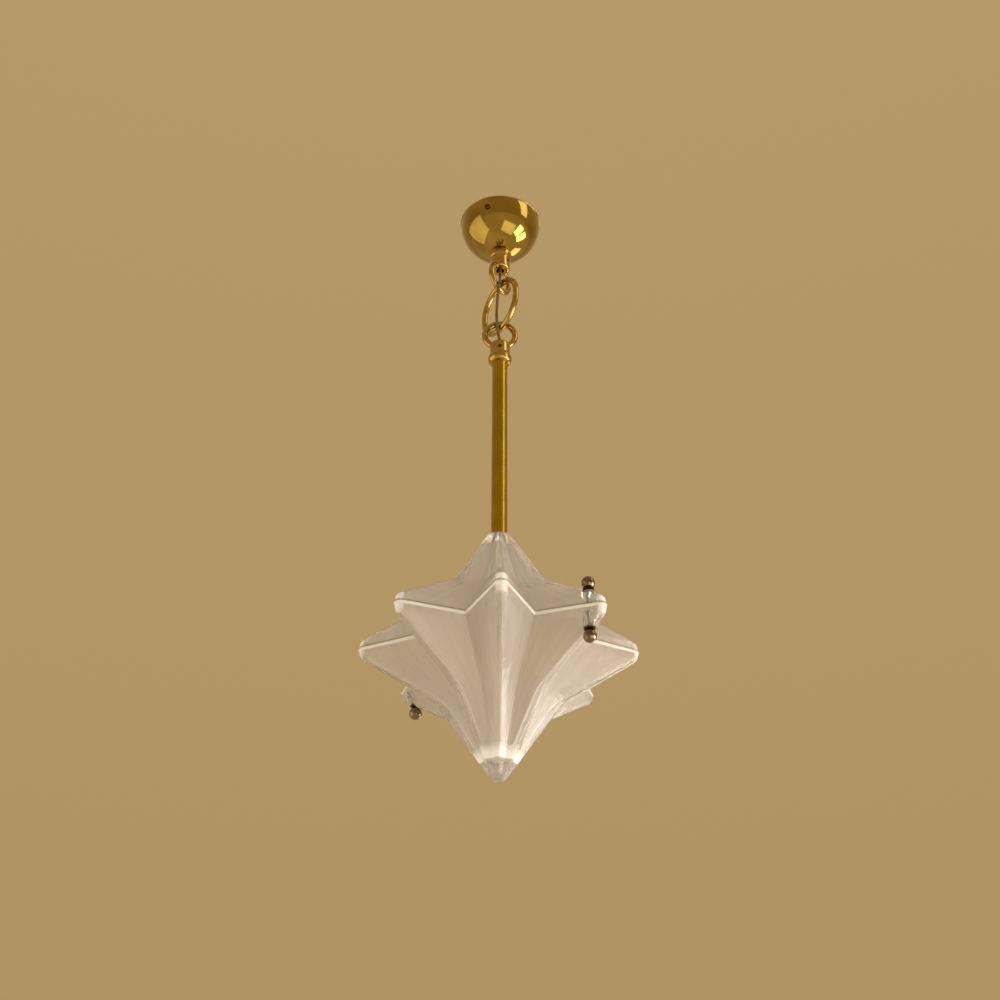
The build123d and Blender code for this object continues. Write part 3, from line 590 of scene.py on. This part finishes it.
drawn_brass, tree, place = new_material("drawn_lacquered_brass")
along = add(tree, "ShaderNodeMapping", {
    "Vector": place, "Scale": (1 / (0.7 * mm), 1 / (0.7 * mm), 1 / (90 * mm))})
lines = add(tree, "ShaderNodeTexNoise", {"Vector": along, "Scale": 1.0, "Detail": 2.0})
tarnish = add(tree, "ShaderNodeTexNoise", {"Vector": place, "Scale": 1 / (25 * mm), "Detail": 4.0})
shade = add(tree, "ShaderNodeValToRGB", {"Fac": tarnish}, stops=((0.3, "#9A7E0E"), (0.7, "#AE8E14")))
dull = add(tree, "ShaderNodeMapRange", {"Value": lines, "To Min": 0.2, "To Max": 0.34})
draw = add(tree, "ShaderNodeBump", {"Height": lines, "Strength": 0.03, "Distance": 0.03 * mm})
surface(tree, add(tree, "ShaderNodeBsdfPrincipled", {
    "Base Color": shade, "Metallic": 1.0, "Roughness": dull,
    "Coat Weight": 0.3, "Coat Roughness": 0.08, "Normal": draw}))
bore = stem_radius - stem_wall
stem_outline = [(bore, stem_end), (stem_radius - edge, stem_end), (stem_radius, stem_end + edge),
                (stem_radius, stem_foot - edge), (stem_radius - edge, stem_foot), (bore, stem_foot)]
stem = smoothed(shown("stem", turned("stem", stem_outline, True, 96), drawn_brass))
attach(stem, "stem")
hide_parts("stem_tube")

# ------------------------ glass star
# Two pressings of pale glass, each with eight arms that gather on the axis. The outside keeps the
# polish of the mould, the hollow is acid-satined, and the meeting rim is ground flat.
arms = 8
half_pitch = math.pi / arms
# Levels of an arm: height from the seam, radius of its tip, radius of the valley beside it, rounding.
# The deep corner rounds the end of a hollow: distance from the end, and in from the wall.
seam_level = (0.0, 130.0, 81.4, 6.0)
shoulder = (8.5, 127.6, 74.8, 6.0)
waist = (53.0, 58.5, 39.8, 3.0)
neck = (114.0, 20.2, 17.8, 2.0)
neck_top = (126.0, 11.6, 10.6, 2.0)
hollow_floor = (104.0, 22.6, 18.8, 2.0)
point = (126.2, 7.4, 6.8, 1.5)
level_reaches = (1.0, 2.5, 7.0, 3.0)
point_end = 130.0
point_end_radius = 6.6
roof = 108.0
neck_bore = 5.5
wall = 5.6
hollow_round = 1.4
deep_corner = ((0.0, 2.0), (0.27, 1.0), (0.9, 0.3), (2.0, 0.0))
almost_axis = 0.0001
valley_soft = 1.4
arris = 0.4
neck_washer = 1.2
seam = stem_end - neck_washer - neck_top[0]
lower_gap = 0.3
clamp_radius = 111.0
clamp_turn = math.radians(45)
clamp_hole = 2.7
pad_radius = 5.8
pad_height = 17.6


def streaks(tree, place, across, along):
    """Noise drawn out into streaks that run from the arms' tips to the axis."""
    apart = add(tree, "ShaderNodeSeparateXYZ", {"Vector": place})
    front = add(tree, "ShaderNodeMath", {0: apart.outputs["Y"], 1: -1.0}, operation="MULTIPLY")
    angle = add(tree, "ShaderNodeMath", {0: apart.outputs["X"], 1: front}, operation="ARCTAN2")
    fan = add(tree, "ShaderNodeMath", {0: angle, 1: across}, operation="MULTIPLY")
    drop = add(tree, "ShaderNodeMath", {0: apart.outputs["Z"], 1: 1 / (along * mm)}, operation="MULTIPLY")
    sheet = add(tree, "ShaderNodeCombineXYZ", {"X": fan, "Y": drop})
    return apart, add(tree, "ShaderNodeTexNoise", {"Vector": sheet, "Scale": 1.0, "Detail": 3.0})


# Fire-polished glass: clear and glossy, with slow swells and streaks from the mould. Painted highlights make
# the glass whiter and less clear at the arms' tips, along the seam and under the hollow, and a painted
# shadow tints it dull olive-grey just above the seam.
# Reaches and bands of the painted highlights and of the painted shadow, in millimetres
tip_highlight_reach = (123, 129)
seam_highlight_band = (-1.7, 1.3)
seam_shadow_band = (0.8, 0.8)
pool_highlight_fade = (-99, -110)
pool_highlight_edge = (-113.4, -112.4)
polished_glass, tree, place = new_material("fire_polished_glass")
apart, chill = streaks(tree, place, 26.0, 45.0)
flat = add(tree, "ShaderNodeCombineXYZ", {"X": apart.outputs["X"], "Y": apart.outputs["Y"]})
reach = add(tree, "ShaderNodeVectorMath", {0: flat}, operation="LENGTH")
tips = add(tree, "ShaderNodeMapRange", {
    "Value": reach.outputs["Value"], "From Min": tip_highlight_reach[0] * mm, "From Max": tip_highlight_reach[1] * mm},
    interpolation_type="SMOOTHSTEP")
seam_highlight, seam_shadow = [add(tree, "ShaderNodeMath", {
    0: apart.outputs["Z"], 1: (seam + middle) * mm, 2: half_width * mm}, operation="COMPARE")
    for middle, half_width in (seam_highlight_band, seam_shadow_band)]
fades, stops_short = [add(tree, "ShaderNodeMapRange", {
    "Value": apart.outputs["Z"], "From Min": (seam + start) * mm, "From Max": (seam + end) * mm},
    interpolation_type=kind) for (start, end), kind in ((pool_highlight_fade, "SMOOTHSTEP"), (pool_highlight_edge, "LINEAR"))]
pool_highlight = add(tree, "ShaderNodeMath", {0: fades, 1: stops_short}, operation="MULTIPLY")
tips = add(tree, "ShaderNodeMath", {0: tips, 1: 0.8}, operation="MULTIPLY")
seam_highlight = add(tree, "ShaderNodeMath", {0: seam_highlight, 1: 0.75}, operation="MULTIPLY")
# The painted highlight: the strongest of the tip, seam and hollow masks
painted_highlight = add(tree, "ShaderNodeMath", {0: tips, 1: seam_highlight}, operation="MAXIMUM")
painted_highlight = add(tree, "ShaderNodeMath", {0: painted_highlight, 1: pool_highlight}, operation="MAXIMUM")
# Where the painted highlight lies, the glass lets less light through and shows whiter
clear = add(tree, "ShaderNodeMapRange", {"Value": painted_highlight, "To Min": 0.88, "To Max": 0.25})
dull = add(tree, "ShaderNodeMapRange", {"Value": chill, "To Min": 0.03, "To Max": 0.18})
# Painted shadow: a dull olive-grey tint on the glass in a band just above the seam
seam_shadow_tint = add(tree, "ShaderNodeMix", {
    "Factor": seam_shadow, 6: linear("#FFFDFA"), 7: linear("#B6B6A0")}, data_type="RGBA")
lumps = add(tree, "ShaderNodeTexNoise", {
    "Vector": place, "Scale": 1 / (16 * mm), "Detail": 3.0, "Distortion": 1.0})
swell = add(tree, "ShaderNodeBump", {"Height": lumps, "Strength": 0.4, "Distance": 2.0 * mm})
ripple = add(tree, "ShaderNodeBump", {
    "Height": chill, "Strength": 0.25, "Distance": 1.0 * mm,
    "Normal": swell})
surface(tree, add(tree, "ShaderNodeBsdfPrincipled", {
    "Base Color": seam_shadow_tint.outputs[2], "Roughness": dull, "IOR": 1.5,
    "Transmission Weight": clear, "Normal": ripple}))

# Acid-satined glass: a pale mist that hides what is behind it, with streaks that run down the arms
satin_glass, tree, place = new_material("acid_satined_glass")
apart, drawn_out = streaks(tree, place, 18.0, 60.0)
etch = add(tree, "ShaderNodeTexNoise", {"Vector": place, "Scale": 1 / (0.9 * mm), "Detail": 3.0})
shade = add(tree, "ShaderNodeValToRGB", {"Fac": drawn_out}, stops=((0.35, "#F3EAE2"), (0.65, "#FFFCF8")))
tooth = add(tree, "ShaderNodeBump", {"Height": etch, "Strength": 0.12, "Distance": 0.2 * mm})
runs = add(tree, "ShaderNodeBump", {
    "Height": drawn_out, "Strength": 0.5, "Distance": 1.2 * mm,
    "Normal": tooth})
dull = add(tree, "ShaderNodeMapRange", {"Value": drawn_out, "To Min": 0.3, "To Max": 0.5})
surface(tree, add(tree, "ShaderNodeBsdfPrincipled", {
    "Base Color": shade, "Roughness": dull, "IOR": 1.5,
    "Transmission Weight": 0.64, "Normal": runs}))

# Ground glass: the wheel leaves it chalky white and dull
ground_glass, tree, place = new_material("ground_glass_rim")
wheel = add(tree, "ShaderNodeTexNoise", {"Vector": place, "Scale": 1 / (0.5 * mm), "Detail": 2.0})
score = add(tree, "ShaderNodeBump", {"Height": wheel, "Strength": 0.2, "Distance": 0.1 * mm})
surface(tree, add(tree, "ShaderNodeBsdfPrincipled", {
    "Base Color": linear("#FFF8EC"), "Roughness": 0.55, "IOR": 1.5, "Transmission Weight": 0.2,
    "Normal": score}))


def half_angle(sharp, valley):
    """Half the angle of an arm's point."""
    return math.atan2(valley * math.sin(half_pitch), sharp - valley * math.cos(half_pitch))


def sharp_tip(tip, valley, rounding):
    """Where an arm's two sides would meet without their rounding."""
    sharp = tip
    for _ in range(20):
        sharp = tip + rounding * (1 / math.sin(half_angle(sharp, valley)) - 1)
    return sharp


def hollow(height, tip, valley, rounding):
    """The same level moved in by the wall."""
    sharp = sharp_tip(tip, valley, rounding)
    side = math.sin(half_angle(sharp, valley))
    share = 1 - wall / (sharp * side)
    return height, share * sharp - hollow_round * (1 / side - 1), share * valley, hollow_round


def eased(past, reach):
    """A bend from level to rising, spread over a reach each way."""
    if abs(past) >= reach:
        return max(past, 0.0)
    return (past + reach) ** 2 / (4 * reach)


def level_at(levels, height):
    """Tip radius, valley radius and rounding at a height, with each change of slope eased."""
    sizes = []
    for column in (1, 2, 3):
        value, slope = levels[0][column], 0.0
        for number, (low, high) in enumerate(zip(levels, levels[1:])):
            rise = (high[column] - low[column]) / (high[0] - low[0])
            reach = level_reaches[number]
            value += (rise - slope) * (eased(height - low[0], reach) if number else height)
            slope = rise
        sizes.append(value)
    return sizes


def arm_row(height, tip, valley, rounding, inward=0.0, round_share=0.0, round_radius=0.0):
    """One level across an arm, valley to tip to valley, as points with the arm along -Y."""
    sharp = sharp_tip(tip, valley, rounding)
    half = half_angle(sharp, valley)
    corner = Vector((valley * math.cos(half_pitch), valley * math.sin(half_pitch)))
    touch = Vector((tip - rounding + rounding * math.sin(half), rounding * math.cos(half)))
    soft = min(valley_soft, 0.3 * (touch - corner).length)
    near = corner + soft * (touch - corner).normalized()
    across = Vector((math.cos(2 * half_pitch), math.sin(2 * half_pitch)))
    far = Vector((near.x * across.x + near.y * across.y, near.x * across.y - near.y * across.x))
    side = []
    for t in (0.5, 0.35, 0.18):
        side.append((1 - t) ** 2 * near + 2 * t * (1 - t) * corner + t**2 * far)
    side += [near.lerp(touch, step / 10) for step in range(10)]
    for step in range(7):
        turn = (math.pi / 2 - half) * (1 - step / 6)
        side.append(Vector((tip - rounding + rounding * math.cos(turn), rounding * math.sin(turn))))
    shrink = 1 - inward / valley
    row = []
    for along, aside in [(p.x, p.y) for p in side] + [(p.x, -p.y) for p in side[-2::-1]]:
        reach = math.hypot(along, aside)
        size = (1 - round_share) * shrink + round_share * round_radius / reach
        row.append((aside * size * mm, -along * size * mm, height * mm))
    return row


def steps_between(low, high, step):
    """Even heights from low to high, both kept."""
    count = max(1, round((high - low) / step))
    return [low + (high - low) * number / count for number in range(count + 1)]


def star_heights(top):
    """Heights of the rows, close together where the slope turns."""
    return (steps_between(arris, 13, 0.9) + steps_between(15, 43, 2.8) + steps_between(44, 62, 1.5)
            + steps_between(64, top, 3.0))


def arm_form(name, rows, finishes, closed):
    """An arm's skin from its rows; each stretch between rows has a finish."""
    form = bmesh.new()
    layer = form.faces.layers.int.new("finish")
    grid = [[form.verts.new(point) for point in row] for row in rows]
    for (low, high), number in zip(zip(grid, grid[1:] + grid[:1] if closed else grid[1:]), finishes):
        for corners in zip(low, low[1:], high[1:], high):
            form.faces.new(corners)[layer] = number
    mesh = bpy.data.meshes.new(name)
    form.to_mesh(mesh)
    form.free()
    return shown(name, mesh)


def upper_rows():
    """Rows of the upper pressing, up its outside, down its bore and hollow, and across its rim."""
    levels = [seam_level, shoulder, waist, neck, neck_top]
    rows = [arm_row(0.0, *level_at(levels, 0.0), inward=arris)]
    for height in star_heights(neck_top[0] - arris):
        rows.append(arm_row(height, *level_at(levels, height)))
    rows.append(arm_row(neck_top[0], *level_at(levels, neck_top[0]), inward=arris))
    for height in (neck_top[0], roof):
        rows.append(arm_row(height, *neck_top[1:], round_share=1.0, round_radius=neck_bore))
    outside = len(rows) - 1
    share = (roof - waist[0]) / (neck[0] - waist[0])
    roof_level = tuple(a + share * (b - a) for a, b in zip(waist, neck))
    inner = [hollow(*level) for level in (seam_level, shoulder, waist, roof_level)]
    for drop, inward in deep_corner:
        rows.append(arm_row(roof - drop, *level_at(inner, roof - drop), inward=inward))
    for height in reversed(star_heights(roof - 4)):
        rows.append(arm_row(height, *level_at(inner, height)))
    rows.append(arm_row(0.0, *level_at(inner, 0.0)))
    inside = len(rows) - 1 - outside
    return rows, [0] * outside + [1] * inside + [2]


def lower_rows():
    """Rows of the lower pressing, from its point up its outside, across its rim and into its hollow."""
    levels = [seam_level, shoulder, waist, hollow_floor, point]
    end_height = point_end - point[0]
    end_ball = (point_end_radius**2 + end_height**2) / (2 * end_height)
    rows = []
    for share in (0.0, 0.25, 0.5, 0.75, 0.95):
        drop = end_ball - math.sqrt(end_ball**2 - (share * point_end_radius) ** 2)
        rows.append(arm_row(point_end - drop, *level_at(levels, point[0]), round_share=1.0,
                            round_radius=max(share * point_end_radius, almost_axis)))
    for height in reversed(star_heights(point[0])):
        rows.append(arm_row(height, *level_at(levels, height)))
    rows.append(arm_row(0.0, *level_at(levels, 0.0), inward=arris))
    outside = len(rows) - 1
    inner = [hollow(*level) for level in (seam_level, shoulder, waist, hollow_floor)]
    rows.append(arm_row(0.0, *level_at(inner, 0.0)))
    deep = hollow_floor[0]
    for height in star_heights(deep - 4):
        rows.append(arm_row(height, *level_at(inner, height)))
    for drop, inward in reversed(deep_corner):
        rows.append(arm_row(deep - drop, *level_at(inner, deep - drop), inward=inward))
    for radius in (6.0, 2.0, almost_axis):
        rows.append(arm_row(deep, *level_at(inner, deep), round_share=1.0, round_radius=radius))
    inside = len(rows) - 2 - outside
    return rows, [0] * outside + [2] + [1] * inside


glass_finishes = [polished_glass, satin_glass, ground_glass]
for name, made_rows, closed, body, node, place in (
    ("upper_glass", upper_rows(), True, "stem", "upper_star", Matrix.Translation((0, 0, seam * mm))),
    ("lower_glass", lower_rows(), False, "lower_star", "lower_star",
     Matrix.Translation((0, 0, (seam - lower_gap) * mm)) @ Matrix.Rotation(math.pi, 4, "Y")),
):
    glass = arm_form(name, *made_rows, closed)
    ring_of(glass, arms, 0.0, math.tau / arms, glass_finishes)
    form = bmesh.new()
    form.from_mesh(glass.data)
    bmesh.ops.remove_doubles(form, verts=form.verts, dist=0.005 * mm)
    bmesh.ops.dissolve_degenerate(form, edges=form.edges, dist=0.001 * mm)
    bmesh.ops.recalc_face_normals(form, faces=form.faces)
    form.to_mesh(glass.data)
    form.free()
    # The lower pressing is turned over, so its ball screws stand at the mirrored angles before the turn
    first = clamp_turn if closed else -clamp_turn
    spots = [Matrix.Rotation(first + turn, 4, "Z") @ Matrix.Translation((0, -clamp_radius * mm, 0))
             for turn in (0, math.pi)]
    cut(glass, *[rod(pad_radius, 0.02, pad_height, spot) for spot in spots], operation="UNION")
    cut(glass, *[rod(pad_radius, pad_height, 2 * pad_height, spot) for spot in spots],
        *[rod(clamp_hole, -1, 2 * pad_height, spot) for spot in spots])
    glass.data.transform(place)
    smoothed(glass, 28)
    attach(glass, body)
    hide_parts(node)

# ------------------------ fibre washers
# Vulcanised fibre washers between glass and metal: dense red-brown paper board.
vulcanised_fibre, tree, place = new_material("vulcanised_fibre")
fibres = add(tree, "ShaderNodeTexNoise", {"Vector": place, "Scale": 1 / (0.7 * mm), "Detail": 4.0})
shade = add(tree, "ShaderNodeValToRGB", {"Fac": fibres}, stops=((0.3, "#4A2C1B"), (0.7, "#6B4430")))
rough = add(tree, "ShaderNodeBump", {"Height": fibres, "Strength": 0.25, "Distance": 0.05 * mm})
surface(tree, add(tree, "ShaderNodeBsdfPrincipled", {
    "Base Color": shade, "Roughness": 0.7, "Normal": rough}))
finish(vulcanised_fibre, "neck_washer_top", "neck_washer_bottom", "upper_seat_washers",
       "lower_seat_washers")

# ------------------------ lampholder
# Cap, skirt and core moulded in white heat-proof nylon, with a screw shell rolled from aluminium and
# a sprung contact inside. Rolling leaves the thread as soft grey ridges with bright crests.
thread_pitch = 2.82
finish(moulded_nylon, "lampholder_cap", "lampholder_skirt", "lampholder_core")

rolled_aluminium, tree, place = new_material("rolled_aluminium")
thread = add(tree, "ShaderNodeTexWave", {"Vector": place, "Scale": math.tau / (20 * thread_pitch * mm)},
             wave_type="BANDS", bands_direction="Z")
scuffs = add(tree, "ShaderNodeTexNoise", {"Vector": place, "Scale": 1 / (3 * mm), "Detail": 3.0})
shade = add(tree, "ShaderNodeValToRGB", {"Fac": scuffs}, stops=((0.3, "#A9A7A2"), (0.7, "#C4C2BD")))
rolled = add(tree, "ShaderNodeBump", {
    "Height": thread.outputs["Fac"], "Strength": 0.8, "Distance": 0.5 * mm})
surface(tree, add(tree, "ShaderNodeBsdfPrincipled", {
    "Base Color": shade, "Metallic": 1.0, "Roughness": 0.32,
    "Normal": rolled}))
finish(rolled_aluminium, "lampholder_shell", "lampholder_contact", "lamp_cap", "lamp_contact")

# ------------------------ lamp
# Small round lamp in opal glass on an E14 cap, with a glossy black glass insulator and a clear inner
# stem. Opal hides what is inside it and looks like smooth milk-white porcelain.
opal_glass, tree, place = new_material("opal_glass")
milk = add(tree, "ShaderNodeTexNoise", {"Vector": place, "Scale": 1 / (14 * mm), "Detail": 2.0})
shade = add(tree, "ShaderNodeValToRGB", {"Fac": milk}, stops=((0.3, "#E9E3D6"), (0.7, "#F2EDE2")))
surface(tree, add(tree, "ShaderNodeBsdfPrincipled", {
    "Base Color": shade, "Roughness": 0.2, "Coat Weight": 0.3}))
finish(opal_glass, "lamp_glass")

black_glass, tree, place = new_material("black_insulator_glass")
seeds = add(tree, "ShaderNodeTexNoise", {"Vector": place, "Scale": 1 / (1 * mm)})
shade = add(tree, "ShaderNodeValToRGB", {"Fac": seeds}, stops=((0.3, "#0B0B0E"), (0.7, "#18181C")))
surface(tree, add(tree, "ShaderNodeBsdfPrincipled", {"Base Color": shade, "Roughness": 0.12}))
finish(black_glass, "lamp_insulator")

stem_glass, tree, place = new_material("clear_stem_glass")
cords = add(tree, "ShaderNodeTexNoise", {"Vector": place, "Scale": 1 / (2 * mm)})
drawn = add(tree, "ShaderNodeBump", {"Height": cords, "Strength": 0.1, "Distance": 0.1 * mm})
surface(tree, add(tree, "ShaderNodeBsdfPrincipled", {
    "Base Color": linear("#F2F6F4"), "Roughness": 0.02, "IOR": 1.5, "Transmission Weight": 1.0,
    "Normal": drawn}))
finish(stem_glass, "lamp_stem")

# ------------------------ ball screws
# Two turned screws with ball heads on a collar pass through both pressings; a ball nut with a
# tapered neck closes each from below. Nickel plate, worn to bronze; the collars and necks, tucked between
# the balls and the glass, are painted dark as shade.
ball_radius = 6.3
rod_radius = 2.0
seat_washer = 0.8
collar_low = seam + pad_height + seat_washer
collar_height = 3.6
collar_radius = 5.2
ball_neck = 2.6
screw_ball = collar_low + collar_height + math.sqrt(ball_radius**2 - ball_neck**2)
nut_top = seam - lower_gap - pad_height - seat_washer - 0.1
nut_neck_height = 3.4
nut_neck_low = 4.9
nut_neck_top = 3.3
nut_ball = nut_top - nut_neck_height - math.sqrt(ball_radius**2 - nut_neck_low**2)
rod_past_centre = 2.0
rod_low = nut_ball - rod_past_centre

worn_nickel, tree, place = new_material("worn_nickel_plate")
wear = add(tree, "ShaderNodeTexNoise", {"Vector": place, "Scale": 1 / (4 * mm), "Detail": 4.0})
shade = add(tree, "ShaderNodeValToRGB", {"Fac": wear}, stops=((0.3, "#5C4E36"), (0.7, "#8A7856")))
dull = add(tree, "ShaderNodeMapRange", {"Value": wear, "To Min": 0.06, "To Max": 0.18})
surface(tree, add(tree, "ShaderNodeBsdfPrincipled", {
    "Base Color": shade, "Metallic": 1.0, "Roughness": dull,
    "Coat Weight": 1.0}))

# Painted shade: near-black nickel for the collars and necks in the narrow waists under the balls
shaded_nickel, tree, place = new_material("nickel_painted_shade")
shade_mottle = add(tree, "ShaderNodeTexNoise", {"Vector": place, "Scale": 1 / (2 * mm), "Detail": 3.0})
shade = add(tree, "ShaderNodeValToRGB", {"Fac": shade_mottle}, stops=((0.3, "#241E18"), (0.7, "#40372C")))
surface(tree, add(tree, "ShaderNodeBsdfPrincipled", {
    "Base Color": shade, "Metallic": 1.0, "Roughness": 0.25}))


def paint_shade_band(made, low, high):
    """Marks the faces between two heights for the painted shade."""
    layer = made.data.attributes.new("finish", "INT", "FACE")
    for face, value in zip(made.data.polygons, layer.data):
        value.value = int(low * mm < face.center.z < high * mm)


def ball(centre, start, end):
    """The stretch of a ball's outline between two angles, its poles on the axis."""
    return [(max(radius, 0.0) if abs(radius) > 1e-6 else 0, height)
            for radius, height in arc(0, centre, ball_radius, start, end, 32)]


out_there = Matrix.Translation((0, -clamp_radius * mm, 0))
neck_turn = math.degrees(math.acos(ball_neck / ball_radius))
screw_outline = ball(screw_ball, 90, -neck_turn)
screw_outline += [(collar_radius - edge, collar_low + collar_height),
                  (collar_radius, collar_low + collar_height - edge), (collar_radius, collar_low + edge),
                  (collar_radius - edge, collar_low), (rod_radius, collar_low), (rod_radius, rod_low),
                  (0, rod_low)]
ball_screws = shown("ball_screws", turned("ball_screws", screw_outline, False, 64))
paint_shade_band(ball_screws, collar_low - 1, collar_low + collar_height + 0.1)
ball_screws.data.transform(out_there)
ring_of(ball_screws, 2, clamp_turn, math.pi, [worn_nickel, shaded_nickel])
smoothed(ball_screws)
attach(ball_screws, "stem")
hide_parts("clamp_screws")

nut_turn = math.degrees(math.acos(nut_neck_low / ball_radius))
nut_bore = rod_radius + 0.05
nut_bore_end = rod_low - 0.3
nut_outline = ball(nut_ball, -90, nut_turn)
nut_outline += [(nut_neck_top, nut_top), (nut_bore, nut_top), (nut_bore, nut_bore_end), (0, nut_bore_end)]
for side, turn in (("right", clamp_turn), ("left", clamp_turn + math.pi)):
    name = f"ball_nut_{side}"
    nut = shown(name + "_turned", turned(name, nut_outline, False, 64))
    paint_shade_band(nut, nut_ball + math.sqrt(ball_radius**2 - nut_neck_low**2), nut_top + 1)
    nut.data.transform(out_there)
    ring_of(nut, 1, turn, 0.0, [worn_nickel, shaded_nickel])
    smoothed(nut)
    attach(nut, name)
    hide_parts(name)
